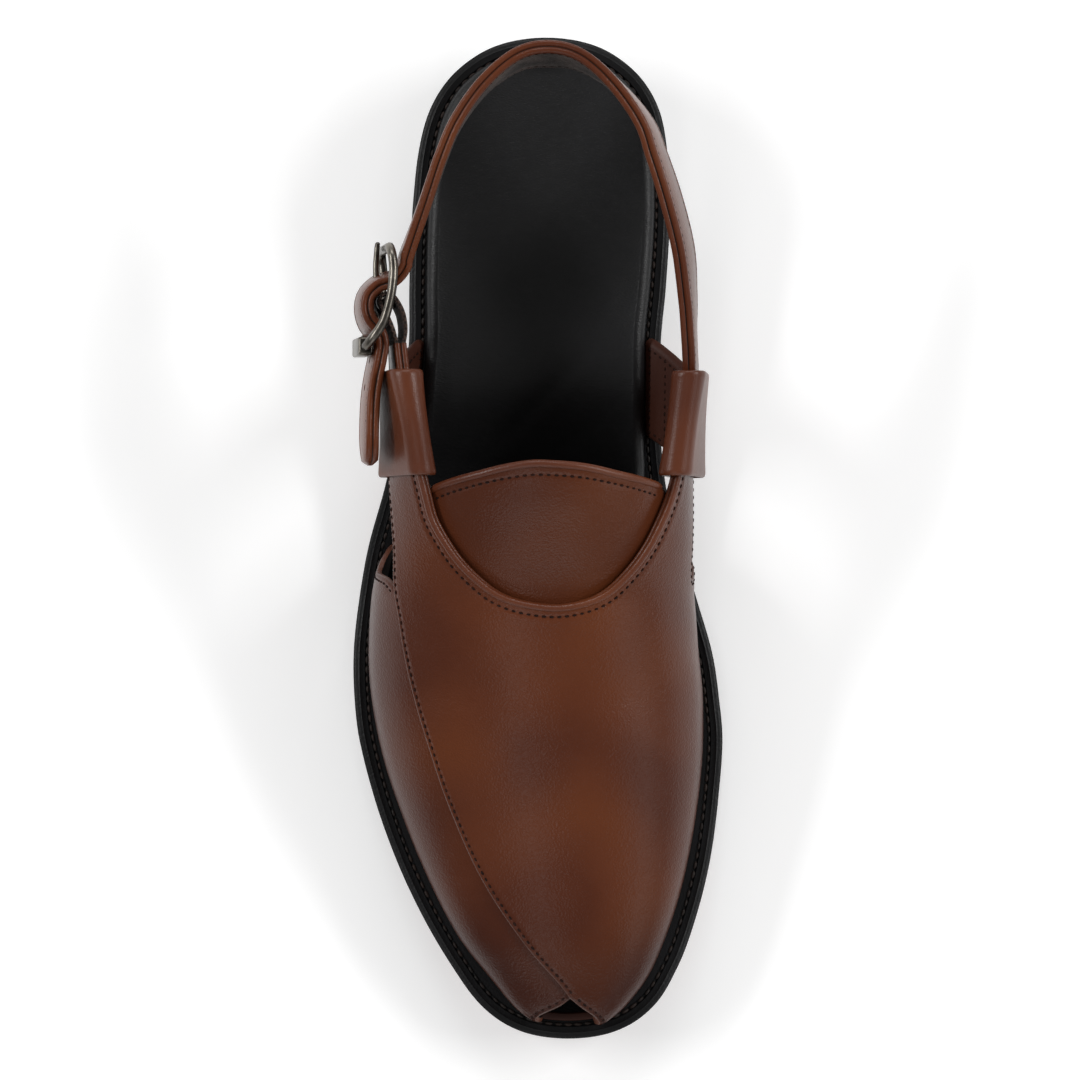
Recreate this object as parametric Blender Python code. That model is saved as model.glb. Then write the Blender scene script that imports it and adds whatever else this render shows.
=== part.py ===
"""Peshawari chappal, right shoe: last-shaped leather upper, heel strap with buckle, footbed, welted sole and heel.

The toe points along -Y, the outer (lateral) side is -X, the inner (medial) side +X, and the floor is Z = 0.
Lengths are metres. Table columns named share are fractions of the sole's length, measured from the back of the heel.
Other table lengths are fractions of the named size that they follow.
"""

import math
from collections import namedtuple

import bmesh
import bpy
from mathutils import Vector
from mathutils.geometry import delaunay_2d_cdt

MILLIMETRE = 0.001
CLEARANCE = 0.0003

# Sole
SOLE_LENGTH = 0.295
BALL_WIDTH = 0.1092
HEEL_CENTRE = 0.0384
HEEL_HEIGHT = 0.022
TOE_SPRING = 0.011
PAD_THICKNESS = 0.0012
OUTSOLE_THICKNESS = 0.0040
WELT_THICKNESS = 0.0038
WELT_GROOVE_INSET = 0.0036
WELT_GROOVE_WIDTH = 0.0014
WELT_GROOVE_DEPTH = 0.0007
LIFT_THICKNESS = 0.0060
HEEL_BREAST_SHARE = 0.295
BREAST_HOLLOW = 0.0035
HEEL_TAPER = 0.0008
INSOLE_EDGE = 0.0042
INSOLE_DISH = 0.0022
SOLE_ROWS = 28

# Upper
INSTEP_RISE = 0.0415
WIDEST_HEIGHT = 0.010
LAST_TIP_SHARE = 0.992
TOE_CLOSING_SHARE = 0.56
UPPER_WALL = 0.0028
SEAM_STEP = 0.0012
BEAD_RADIUS = 0.0016
TONGUE_WALL = 0.0018
LAST_ROUNDNESS = 0.92
PATTERN_SCALE = 0.07
PATTERN_COLUMNS = 12
PATTERN_COLUMN_STEP = 0.095
PATTERN_ROW_STEP = 0.028
PATTERN_TOE_ROW_STEP = 0.016
PATTERN_TOE_SHARE = 0.86
PATTERN_EDGE_ROOM = 0.0024

# Straps and keepers
STRAP_WIDTH = 0.0190
STRAP_THICKNESS = 0.0038
STRAP_GROOVE = 0.0006
STRAP_LEVEL = 2.2
KEEPER_WALL = 0.0016
KEEPER_ROOM = 0.0034
KEEPER_SLANT = 0.0115
KEEPER_FOOT_INSET = 0.0030
TAB_THICKNESS = 0.0036
TAB_WIDTH = 0.0160

# Buckle
FRAME_HEIGHT = 0.0250
FRAME_BAR = 0.0028
FRAME_FLATNESS = 0.7
FRAME_CORNER = 0.0040
CENTRE_BAR = 0.0024
FRAME_LEAN = 9.0
ROLLER_HEIGHT = 0.0168
ROLLER_LENGTH = 0.0052
ROLLER_WALL = 0.0006
PRONG_RADIUS = 0.0010
PRONG_EYE_WALL = 0.0009
PRONG_EYE_HEIGHT = 0.0024
ELASTIC_THICKNESS = 0.0010
ELASTIC_WIDTH = 0.0150
ELASTIC_WINDOW = 0.0056

Outline = namedtuple("Outline", "share half centre")
Bottom = namedtuple("Bottom", "share seat spring")
Last = namedtuple("Last", "share half centre widest rise tuck_lateral tuck_medial")
Margin = namedtuple("Margin", "share lateral medial")
Mark = namedtuple("Mark", "around share")
Strap = namedtuple("Strap", "across share rise lean")
Step = namedtuple("Step", "inset level")
Station = namedtuple("Station", "out aft up lean")
Plan = namedtuple("Plan", "out aft")

# half and centre are fractions of the ball width; half is the width of the ellipse that closes at both ends
SOLE_OUTLINE = (
    Outline(0.000, 0.778, 0.000),
    Outline(0.020, 0.697, -0.001),
    Outline(0.040, 0.656, -0.002),
    Outline(0.070, 0.601, -0.004),
    Outline(0.110, 0.533, -0.008),
    Outline(0.160, 0.471, -0.012),
    Outline(0.250, 0.399, -0.023),
    Outline(0.310, 0.368, -0.031),
    Outline(0.380, 0.361, -0.040),
    Outline(0.440, 0.382, -0.055),
    Outline(0.500, 0.422, -0.059),
    Outline(0.560, 0.466, -0.049),
    Outline(0.620, 0.508, -0.034),
    Outline(0.660, 0.527, -0.025),
    Outline(0.700, 0.543, -0.014),
    Outline(0.760, 0.552, 0.001),
    Outline(0.820, 0.562, 0.019),
    Outline(0.880, 0.574, 0.037),
    Outline(0.930, 0.600, 0.052),
    Outline(0.970, 0.669, 0.059),
    Outline(0.990, 0.740, 0.060),
    Outline(1.000, 0.820, 0.060),
)

# The tread pad's outline, with share running from its own rear end to its front end
PAD_OUTLINE = (
    Outline(0.00, 0.520, -0.020),
    Outline(0.05, 0.484, -0.015),
    Outline(0.12, 0.468, -0.003),
    Outline(0.23, 0.427, 0.012),
    Outline(0.38, 0.372, 0.020),
    Outline(0.56, 0.325, 0.037),
    Outline(0.72, 0.292, 0.060),
    Outline(0.87, 0.279, 0.079),
    Outline(1.00, 0.285, 0.090),
)
PAD_REAR_SHARE = 0.540
PAD_FRONT_SHARE = 0.967

# seat is a fraction of the heel height, spring one of the toe spring
SOLE_BOTTOM = (
    Bottom(0.00, 1.03, 0.00),
    Bottom(0.15, 1.00, 0.00),
    Bottom(0.28, 0.965, 0.00),
    Bottom(0.34, 0.86, 0.00),
    Bottom(0.40, 0.60, 0.00),
    Bottom(0.46, 0.30, 0.00),
    Bottom(0.52, 0.09, 0.00),
    Bottom(0.57, 0.00, 0.00),
    Bottom(0.74, 0.00, 0.00),
    Bottom(0.80, 0.00, 0.06),
    Bottom(0.86, 0.00, 0.24),
    Bottom(0.92, 0.00, 0.54),
    Bottom(1.00, 0.00, 1.00),
)

# half, centre and the tucks are fractions of the ball width, widest one of WIDEST_HEIGHT, rise one of INSTEP_RISE
LAST = (
    Last(0.28, 0.400, -0.009, 2.28, 1.260, 0.014, 0.100),
    Last(0.38, 0.4025, -0.013, 2.23, 1.157, 0.014, 0.100),
    Last(0.44, 0.4095, -0.018, 2.29, 1.012, 0.014, 0.100),
    Last(0.50, 0.425, -0.025, 1.81, 1.036, 0.014, 0.092),
    Last(0.56, 0.443, -0.041, 1.21, 1.036, 0.018, 0.053),
    Last(0.60, 0.453, -0.040, 1.00, 1.000, 0.021, 0.027),
    Last(0.66, 0.468, -0.029, 0.70, 0.966, 0.020, 0.013),
    Last(0.72, 0.472, -0.014, 0.65, 0.896, 0.016, 0.006),
    Last(0.78, 0.4673, 0.0035, 0.63, 0.825, 0.011, 0.005),
    Last(0.84, 0.463, 0.021, 0.61, 0.753, 0.007, 0.005),
    Last(0.90, 0.460, 0.038, 0.55, 0.694, 0.005, 0.004),
    Last(0.95, 0.4525, 0.056, 0.48, 0.586, 0.004, 0.003),
    Last(LAST_TIP_SHARE, 0.500, 0.055, 0.40, 0.560, 0.003, 0.003),
)

# How far the footbed's edge lies inside the sole's edge, as fractions of the ball width
INSOLE_MARGIN = (
    Margin(0.00, 0.040, 0.040),
    Margin(0.26, 0.048, 0.044),
    Margin(0.42, 0.056, 0.050),
    Margin(0.50, 0.085, 0.105),
    Margin(0.60, 0.098, 0.105),
    Margin(0.80, 0.105, 0.105),
    Margin(1.00, 0.115, 0.115),
)

# Edges of the upper on the last: around is -1 at the lateral and 1 at the medial widest line, 1.2 at the feather
THROAT = (
    Mark(-0.680, 0.375),
    Mark(-0.615, 0.405),
    Mark(-0.570, 0.430),
    Mark(-0.515, 0.456),
    Mark(-0.463, 0.480),
    Mark(-0.383, 0.503),
    Mark(-0.308, 0.521),
    Mark(-0.217, 0.539),
    Mark(-0.125, 0.554),
    Mark(-0.023, 0.5625),
    Mark(0.098, 0.566),
    Mark(0.212, 0.5615),
    Mark(0.312, 0.551),
    Mark(0.406, 0.5315),
    Mark(0.481, 0.511),
    Mark(0.558, 0.4875),
    Mark(0.628, 0.4665),
    Mark(0.666, 0.454),
    Mark(0.714, 0.4355),
    Mark(0.765, 0.410),
    Mark(0.800, 0.385),
)
LATERAL_LEG_EDGE = (
    Mark(-0.950, 0.375),
    Mark(-0.905, 0.412),
    Mark(-0.860, 0.440),
    Mark(-0.788, 0.468),
    Mark(-0.711, 0.503),
    Mark(-0.625, 0.550),
)
MEDIAL_LEG_EDGE = (
    Mark(1.030, 0.385),
    Mark(0.990, 0.430),
    Mark(0.930, 0.470),
    Mark(0.885, 0.505),
    Mark(0.880, 0.535),
    Mark(0.940, 0.538),
    Mark(1.000, 0.526),
    Mark(1.100, 0.505),
    Mark(1.200, 0.487),
)
SEAM = (
    Mark(-0.625, 0.550),
    Mark(-0.586, 0.573),
    Mark(-0.558, 0.597),
    Mark(-0.537, 0.616),
    Mark(-0.498, 0.661),
    Mark(-0.461, 0.709),
    Mark(-0.438, 0.752),
    Mark(-0.412, 0.789),
    Mark(-0.376, 0.8265),
    Mark(-0.324, 0.8585),
    Mark(-0.240, 0.893),
    Mark(-0.144, 0.923),
    Mark(-0.022, 0.9475),
    Mark(0.042, 0.957),
)
MEDIAL_TOE_EDGE = (
    Mark(0.042, 0.957),
    Mark(0.200, 0.9675),
    Mark(0.476, 0.978),
    Mark(0.800, 0.984),
    Mark(1.200, 0.986),
)
LATERAL_TOE_EDGE = (
    Mark(0.042, 0.957),
    Mark(-0.120, 0.9675),
    Mark(-0.500, 0.979),
    Mark(-0.850, 0.985),
    Mark(-1.200, 0.987),
)
LATERAL_REAR_EDGE = (
    Mark(-0.625, 0.550),
    Mark(-0.737, 0.538),
    Mark(-0.850, 0.533),
    Mark(-0.974, 0.5285),
    Mark(-1.080, 0.515),
    Mark(-1.200, 0.503),
)
TONGUE_EDGE = (
    Mark(-0.530, 0.458),
    Mark(-0.499, 0.453),
    Mark(-0.257, 0.440),
    Mark(-0.058, 0.433),
    Mark(0.070, 0.433),
    Mark(0.215, 0.4355),
    Mark(0.424, 0.443),
    Mark(0.634, 0.451),
    Mark(0.700, 0.462),
    Mark(0.660, 0.500),
    Mark(0.560, 0.535),
    Mark(0.420, 0.565),
    Mark(0.240, 0.590),
    Mark(0.050, 0.598),
    Mark(-0.150, 0.590),
    Mark(-0.320, 0.565),
    Mark(-0.450, 0.530),
    Mark(-0.550, 0.490),
    Mark(-0.570, 0.470),
)
FEATHER = 1.2

# Middle line of the heel strap from the medial keeper to the buckle: across is a fraction of the ball width, rise one
# of INSTEP_RISE over the widest line at the keepers, and lean tilts the top edge inwards, in degrees
HEEL_STRAP = (
    Strap(0.372, 0.3788, 0.154, 8),
    Strap(0.379, 0.3600, 0.128, 6),
    Strap(0.380, 0.3340, 0.113, 5),
    Strap(0.376, 0.3000, 0.148, 5),
    Strap(0.372, 0.2660, 0.208, 8),
    Strap(0.359, 0.2210, 0.311, 12),
    Strap(0.328, 0.1760, 0.404, 13),
    Strap(0.287, 0.1310, 0.482, 12),
    Strap(0.250, 0.0980, 0.533, 10),
    Strap(0.175, 0.0640, 0.567, 5),
    Strap(0.087, 0.0410, 0.584, -3),
    Strap(0.004, 0.0350, 0.590, -7),
    Strap(-0.077, 0.0410, 0.584, -4),
    Strap(-0.162, 0.0650, 0.567, 0),
    Strap(-0.230, 0.0980, 0.534, 2),
    Strap(-0.271, 0.1310, 0.490, 2),
    Strap(-0.315, 0.1760, 0.398, 3),
)
BUCKLE_PLACE = Strap(-0.423, 0.2693, 0.219, 9)

# Places round the buckle's centre bar, in millimetres: out is away from the foot, aft towards the heel
STRAP_IN_BUCKLE = (
    Station(-6.4, 14.4, 2.6, 5),
    Station(-5.0, 9.8, 1.6, 6),
    Station(-2.2, 6.8, 1.0, 8),
    Station(1.9, 5.4, 0.8, 9),
    Station(5.2, 2.3, 0.6, 9),
    Station(6.0, -1.8, 0.4, 9),
    Station(4.9, -5.8, 0.2, 9),
    Station(2.6, -8.8, 0.0, 9),
    Station(1.6, -12.2, -0.2, 9),
    Station(2.2, -16.5, -0.3, 9),
    Station(3.2, -21.5, -0.4, 9),
    Station(4.0, -28.0, -0.9, 9),
    Station(4.3, -38.0, -1.4, 9),
    Station(4.0, -46.6, -1.4, 9),
)
ELASTIC_LOOP = (
    Station(-4.7, -12.0, 0, 9),
    Station(-5.2, -8.0, 0, 9),
    Station(-4.6, -3.6, 0, 9),
    Station(-3.0, -0.2, 0, 9),
    Station(-1.5, 1.6, 0, 9),
    Station(0.0, 2.1, 0, 9),
    Station(1.5, 1.5, 0, 9),
    Station(2.1, 0.0, 0, 9),
    Station(1.4, -1.8, 0, 9),
    Station(-0.4, -5.0, 0, 9),
    Station(-1.8, -8.6, 0, 9),
    Station(-2.6, -12.3, 0, 9),
)
CHAPE_TAB_REAR = Station(-3.6, -12.9, 0, 9)
PRONG_PATH = (
    Plan(0.9, 1.7),
    Plan(2.1, 5.0),
    Plan(2.5, 9.6),
    Plan(2.2, 15.0),
    Plan(1.9, 17.2),
)
FRAME_PLAN = (
    Plan(-0.3, 15.2),
    Plan(-1.0, 9.8),
    Plan(-0.8, 5.0),
    Plan(0.0, 0.0),
    Plan(2.1, -6.6),
    Plan(6.3, -12.8),
)

# The keepers' loops: share, and the two edges of the leg that passes through them
KEEPER_FRONT_SHARE = 0.4355
KEEPER_REAR_SHARE = 0.3386
LATERAL_KEEPER_FRONT = (-0.565, -0.865)
LATERAL_KEEPER_REAR = (-0.730, -0.985)
MEDIAL_KEEPER_FRONT = (0.714, 0.985)
MEDIAL_KEEPER_REAR = Strap(0.380, KEEPER_REAR_SHARE, 0.115, 5)
LEG_END_LATERAL = (-0.680, -0.950)


def smooth(rows, column, share):
    """Value of a table column at share, on a curve that never overshoots between rows."""
    shares = [row.share for row in rows]
    values = [getattr(row, column) for row in rows]
    if share <= shares[0]:
        return values[0]
    if share >= shares[-1]:
        return values[-1]
    steps = [b - a for a, b in zip(shares, shares[1:])]
    slopes = [(b - a) / step for a, b, step in zip(values, values[1:], steps)]
    tangents = [slopes[0]]
    for before, after, slope_in, slope_out in zip(steps, steps[1:], slopes, slopes[1:]):
        if slope_in * slope_out <= 0:
            tangents.append(0.0)
        else:
            weight_in = 2 * after + before
            weight_out = after + 2 * before
            tangents.append((weight_in + weight_out) / (weight_in / slope_in + weight_out / slope_out))
    tangents.append(slopes[-1])
    k = max(i for i, start in enumerate(shares[:-1]) if share >= start)
    t = (share - shares[k]) / steps[k]
    hold = (1 + 2 * t) * (1 - t) ** 2
    leave = t * (1 - t) ** 2
    reach = t * t * (3 - 2 * t)
    arrive = t * t * (t - 1)
    return (
        hold * values[k]
        + steps[k] * leave * tangents[k]
        + reach * values[k + 1]
        + steps[k] * arrive * tangents[k + 1]
    )


def curve_through(points, per_span):
    """Points on a smooth curve through the given points, per_span of them from each to the next."""
    points = [Vector(p) for p in points]
    ends = [2 * points[0] - points[1]] + points + [2 * points[-1] - points[-2]]
    fine = []
    for before, start, end, after in zip(ends, ends[1:], ends[2:], ends[3:]):
        for k in range(per_span):
            t = k / per_span
            fine.append(
                0.5
                * (
                    2 * start
                    + (end - before) * t
                    + (2 * before - 5 * start + 4 * end - after) * t**2
                    + (3 * start - before - 3 * end + after) * t**3
                )
            )
    fine.append(points[-1])
    return fine


def along(points, count):
    """Evenly spaced points on a smooth curve through the given points."""
    fine = curve_through(points, 12)
    travelled = [0.0]
    for a, b in zip(fine, fine[1:]):
        travelled.append(travelled[-1] + (b - a).length)
    spaced = []
    k = 0
    for i in range(count):
        wanted = travelled[-1] * i / (count - 1)
        while k < len(fine) - 2 and travelled[k + 1] < wanted:
            k += 1
        gap = travelled[k + 1] - travelled[k]
        spaced.append(fine[k].lerp(fine[k + 1], min(1.0, (wanted - travelled[k]) / gap)))
    return spaced


def length_at(share):
    return HEEL_CENTRE - share * SOLE_LENGTH


def share_at(y):
    return (HEEL_CENTRE - y) / SOLE_LENGTH


def tread_height(share):
    """The lowest line of the sole over the floor."""
    return HEEL_HEIGHT * smooth(SOLE_BOTTOM, "seat", share) + TOE_SPRING * smooth(SOLE_BOTTOM, "spring", share)


def outsole_bottom(share):
    return tread_height(share) + PAD_THICKNESS + CLEARANCE


def outsole_top(share):
    return outsole_bottom(share) + OUTSOLE_THICKNESS


def welt_bottom(share):
    return outsole_top(share) + CLEARANCE


def welt_top(share):
    return welt_bottom(share) + WELT_THICKNESS


def insole_bottom(share):
    return welt_top(share) + CLEARANCE


def closed_stack(faces, levels):
    """Closed solid between the first and last level, whose rim passes through the levels between."""
    points = []
    used = sorted({i for face in faces for i in face})
    edges = [(face[k - 1], face[k]) for face in faces for k in range(len(face))]
    known = set(edges)
    rim = [(a, b) for a, b in edges if (b, a) not in known]
    rim_points = sorted({i for edge in rim for i in edge})
    rings = []
    for number, level in enumerate(levels):
        wanted = used if number in (0, len(levels) - 1) else rim_points
        rings.append({i: len(points) + k for k, i in enumerate(wanted)})
        points += [level[i] for i in wanted]
    solid = [tuple(rings[-1][i] for i in face) for face in faces]
    solid += [tuple(rings[0][i] for i in reversed(face)) for face in faces]
    for lower, upper in zip(rings, rings[1:]):
        solid += [(lower[a], lower[b], upper[b], upper[a]) for a, b in rim]
    return points, solid


def ladder_faces(row_lengths):
    """Faces between rows of points; a row of one point is a pole."""
    starts = [sum(row_lengths[:i]) for i in range(len(row_lengths))]
    faces = []
    for i in range(len(row_lengths) - 1):
        here, there = starts[i], starts[i + 1]
        columns = max(row_lengths[i], row_lengths[i + 1]) - 1
        for k in range(columns):
            if row_lengths[i] == 1:
                faces.append((here, there + k, there + k + 1))
            elif row_lengths[i + 1] == 1:
                faces.append((here + k, there, here + k + 1))
            else:
                faces.append((here + k, there + k, there + k + 1, here + k + 1))
    return faces


def material(name, colour, roughness, metallic=0.0):
    made = bpy.data.materials.new(name)
    made.use_nodes = True
    shader = made.node_tree.nodes["Principled BSDF"]
    shader.inputs["Base Color"].default_value = (*colour, 1.0)
    shader.inputs["Roughness"].default_value = roughness
    shader.inputs["Metallic"].default_value = metallic
    made.diffuse_color = (*colour, 1.0)
    return made


def add_object(name, points, faces, finish, cutter=False):
    mesh = bpy.data.meshes.new(name)
    mesh.from_pydata([tuple(p) for p in points], [], faces)
    shape = bmesh.new()
    shape.from_mesh(mesh)
    bmesh.ops.recalc_face_normals(shape, faces=shape.faces)
    shape.to_mesh(mesh)
    shape.free()
    mesh.shade_smooth()
    mesh.set_sharp_from_angle(angle=math.radians(40))
    made = bpy.data.objects.new(name, mesh)
    bpy.context.scene.collection.objects.link(made)
    if cutter:
        made.hide_render = True
        made.display_type = "WIRE"
    else:
        mesh.materials.append(finish)
    return made


def combine(target, other, operation):
    modifier = target.modifiers.new(other.name, "BOOLEAN")
    modifier.operation = operation
    modifier.object = other
    modifier.solver = "EXACT"


# Sole layers


def outline_point(rows, turn, side, rear_share, front_share):
    """Point of an outline, with turn 0 at its rear and pi at its front, and side -1 lateral or 1 medial."""
    share = (1 - math.cos(turn)) / 2
    half = BALL_WIDTH * smooth(rows, "half", share) * math.sin(turn)
    centre = BALL_WIDTH * smooth(rows, "centre", share)
    return Vector((centre + side * half, length_at(rear_share + share * (front_share - rear_share))))


def sole_edge(turn, side, inset=0.0):
    """Point of the sole's outline, moved inwards by inset."""
    step = 0.001
    behind = outline_point(SOLE_OUTLINE, turn - step, side, 0.0, 1.0)
    ahead = outline_point(SOLE_OUTLINE, turn + step, side, 0.0, 1.0)
    direction = (ahead - behind).normalized()
    inward = Vector((direction.y, -direction.x)) * side
    return outline_point(SOLE_OUTLINE, turn, side, 0.0, 1.0) + inward * inset


def turn_at(share):
    return math.acos(1 - 2 * share)


def plan_rows(edge, count, columns, first=0.0, last=1.0, poles=(True, True)):
    """Rows of plan points from the lateral to the medial edge; edge(part, side) gives the edges."""
    rows = []
    for i in range(count + 1):
        part = first + (last - first) * i / count
        lateral, medial = edge(part, -1), edge(part, 1)
        if (i == 0 and poles[0]) or (i == count and poles[1]):
            rows.append([(lateral + medial) / 2])
        else:
            rows.append([lateral.lerp(medial, (across + 1) / 2) for across in columns])
    return rows


def lifted(rows, height):
    return [Vector((p.x, p.y, height(share_at(p.y)))) for row in rows for p in row]


def sole_layer(steps, bottom, top, columns=(-1, 1)):
    """Solid whose edge follows steps: each row's inset from the sole's edge and its level between bottom and top."""

    def ring(step):
        def edge(part, side):
            return sole_edge(math.pi * part, side, step.inset)

        rows = plan_rows(edge, SOLE_ROWS, columns)
        return rows, lifted(rows, lambda share: bottom(share) + step.level * (top(share) - bottom(share)))

    rings = [ring(step) for step in steps]
    faces = ladder_faces([len(row) for row in rings[0][0]])
    return closed_stack(faces, [points for _, points in rings])


def make_outsole(finish):
    edge = (
        Step(0.0012, 0.0),
        Step(0.0003, 0.16),
        Step(0.0, 0.5),
        Step(0.0003, 0.84),
        Step(0.0009, 1.0),
    )
    add_object("outsole", *sole_layer(edge, outsole_bottom, outsole_top), finish)


def make_welt(finish):
    rib, dip = 0.0001, 0.0008
    groove = WELT_GROOVE_INSET
    wide = WELT_GROOVE_WIDTH / 2
    floor = 1 - WELT_GROOVE_DEPTH / WELT_THICKNESS
    edge = (
        Step(0.0010, 0.0),
        Step(rib, 0.07),
        Step(rib, 0.24),
        Step(dip, 0.31),
        Step(dip, 0.37),
        Step(rib, 0.44),
        Step(rib, 0.58),
        Step(dip, 0.65),
        Step(dip, 0.71),
        Step(rib, 0.78),
        Step(rib, 0.92),
        Step(0.0007, 1.0),
        Step(groove - wide, 1.0),
        Step(groove - wide / 2, floor),
        Step(groove + wide / 2, floor),
        Step(groove + wide, 1.0),
    )
    add_object("welt", *sole_layer(edge, welt_bottom, welt_top), finish)


def make_tread_pad(finish):
    def edge_at(inset):
        def edge(part, side):
            point = outline_point(PAD_OUTLINE, math.pi * part, side, PAD_REAR_SHARE, PAD_FRONT_SHARE)
            middle = Vector((0.02 * BALL_WIDTH, length_at((PAD_REAR_SHARE + PAD_FRONT_SHARE) / 2)))
            return point + (middle - point).normalized() * inset

        return edge

    levels = []
    for inset, level in ((0.0006, 0.0), (0.0, 0.4), (0.0, 1.0)):
        rows = plan_rows(edge_at(inset), 22, (-1, 1))
        levels.append(lifted(rows, lambda share, level=level: tread_height(share) + level * PAD_THICKNESS))
    faces = ladder_faces([len(row) for row in rows])
    add_object("tread_pad", *closed_stack(faces, levels), finish)


def heel_rows(inset, rear, front, hollow):
    """Plan rows of a heel piece between two lines, each a pair of shares at the lateral and medial edges."""
    columns = (-1, -0.4, 0.4, 1)

    def edge(part, side):
        start = turn_at(rear[0] if side < 0 else rear[1])
        end = turn_at(front[0] if side < 0 else front[1])
        return sole_edge(start + part * (end - start), side, inset)

    has_pole = rear == (0.0, 0.0)
    rows = plan_rows(edge, 12, columns, poles=(has_pole, False))
    for number, row in enumerate(rows):
        if len(row) > 1:
            for point, across in zip(row, columns):
                point.y += hollow * (1 - across**2) * (number / 12) ** 3
    return rows


def make_heel(block_finish, lift_finish, tip_finish):
    whole = ((0.0, 0.0), (HEEL_BREAST_SHARE, HEEL_BREAST_SHARE))
    tip_front = (0.193, 0.145)
    gap = CLEARANCE / SOLE_LENGTH
    lift_rear = (tip_front[0] + gap, tip_front[1] + gap)

    def piece(name, rear, front, hollow, steps, bottom, top, finish):
        levels = []
        for inset, level in steps:
            rows = heel_rows(inset, rear, front, hollow)
            levels.append(lifted(rows, lambda s, level=level: bottom(s) + level * (top(s) - bottom(s))))
        add_object(name, *closed_stack(ladder_faces([len(row) for row in rows]), levels), finish)

    block_steps = (
        (HEEL_TAPER, 0.0),
        (HEEL_TAPER * 0.5, 0.1),
        (HEEL_TAPER * 1.2, 0.5),
        (HEEL_TAPER, 1.0),
    )
    lift_steps = (
        (HEEL_TAPER + 0.0006, 0.0),
        (HEEL_TAPER, 0.12),
        (HEEL_TAPER, 0.88),
        (HEEL_TAPER + 0.0004, 1.0),
    )

    def floor(share):
        return 0.0

    def lift_top(share):
        return LIFT_THICKNESS

    def block_bottom(share):
        return LIFT_THICKNESS + CLEARANCE

    def block_top(share):
        return outsole_bottom(share) - 2 * CLEARANCE

    piece("heel_block", *whole, BREAST_HOLLOW, block_steps, block_bottom, block_top, block_finish)
    piece("heel_tip", (0.0, 0.0), tip_front, 0.0, lift_steps, floor, lift_top, tip_finish)
    piece("top_lift", lift_rear, whole[1], BREAST_HOLLOW, lift_steps, floor, lift_top, lift_finish)


def make_insole(finish):
    """The footbed: rounded raised edge, dished along the middle."""
    columns = (-1, -0.92, -0.75, -0.4, 0, 0.4, 0.75, 0.92, 1)
    edge_steps = ((0.0010, 0.0), (0.0, 0.3), (0.0002, 0.6), (0.0009, 0.85))

    def edge_at(inset):
        def edge(part, side):
            turn = math.pi * part
            column = "lateral" if side < 0 else "medial"
            margin = BALL_WIDTH * smooth(INSOLE_MARGIN, column, (1 - math.cos(turn)) / 2)
            return sole_edge(turn, side, margin + inset)

        return edge

    def relief(across):
        bank = abs(across)
        return -0.3 * MILLIMETRE if bank == 1 else -INSOLE_DISH * math.cos(bank * math.pi / 2) ** 0.8

    levels = []
    for inset, level in edge_steps:
        rows = plan_rows(edge_at(inset), SOLE_ROWS, columns)
        levels.append(lifted(rows, lambda s, level=level: insole_bottom(s) + level * INSOLE_EDGE))
    rows = plan_rows(edge_at(0.0018), SOLE_ROWS, columns)
    crown = []
    for row in rows:
        for point, across in zip(row, columns if len(row) > 1 else (1,)):
            height = insole_bottom(share_at(point.y)) + INSOLE_EDGE + relief(across)
            crown.append(Vector((point.x, point.y, height)))
    levels.append(crown)
    add_object("insole", *closed_stack(ladder_faces([len(row) for row in rows]), levels), finish)


# The last and the upper


def closing(share):
    """How the last narrows and lowers towards the toe."""
    if share <= TOE_CLOSING_SHARE:
        return 1.0
    part = (share - TOE_CLOSING_SHARE) / (LAST_TIP_SHARE - TOE_CLOSING_SHARE)
    return math.sqrt(max(0.0, 1 - part * part))


def last_point(around, share):
    """Point on the outside of the upper: 0 is the ridge, -1 and 1 the widest lines, -1.2 and 1.2 the feather."""
    side = 1 if around > 0 else -1
    half = BALL_WIDTH * smooth(LAST, "half", share) * closing(share)
    centre = BALL_WIDTH * smooth(LAST, "centre", share)
    seat = welt_top(share) + 2 * CLEARANCE
    widest = welt_top(share) + WIDEST_HEIGHT * smooth(LAST, "widest", share)
    rise = INSTEP_RISE * smooth(LAST, "rise", share) * closing(share)
    if abs(around) < 1:
        angle = abs(around) * math.pi / 2
        x = centre + side * half * math.sin(angle)
        return Vector((x, length_at(share), widest + rise * math.cos(angle) ** LAST_ROUNDNESS))
    part = (abs(around) - 1) / (FEATHER - 1)
    tuck = BALL_WIDTH * smooth(LAST, "tuck_lateral" if side < 0 else "tuck_medial", share)
    x = centre + side * (half - tuck * part**1.6)
    return Vector((x, length_at(share), widest - (widest - seat) * part))


def last_normal(around, share):
    step = 0.004
    inside = min(max(around, step - FEATHER), FEATHER - step)
    around_direction = last_point(inside + step, share) - last_point(inside - step, share)
    share_direction = last_point(inside, share + 0.001) - last_point(inside, share - 0.001)
    return share_direction.cross(around_direction).normalized()


def last_offset(around, share, offset):
    return last_point(around, share) + last_normal(around, share) * offset


def marks(rows, count):
    """Evenly spaced places along an edge, in the flat pattern of around and share."""
    flat = [Vector((row.around * PATTERN_SCALE, row.share * SOLE_LENGTH, 0.0)) for row in rows]
    return [Vector((p.x, p.y)) for p in along(flat, count)]


def inside_loop(point, loop):
    found = False
    for a, b in zip(loop, loop[1:] + loop[:1]):
        if (a.y > point.y) != (b.y > point.y):
            if point.x < a.x + (b.x - a.x) * (point.y - a.y) / (b.y - a.y):
                found = not found
    return found


def distance_to_loop(point, loop):
    shortest = 1.0
    for a, b in zip(loop, loop[1:] + loop[:1]):
        edge = b - a
        part = min(1.0, max(0.0, (point - a).dot(edge) / max(edge.length_squared, 1e-12)))
        shortest = min(shortest, (point - a - edge * part).length)
    return shortest


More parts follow.
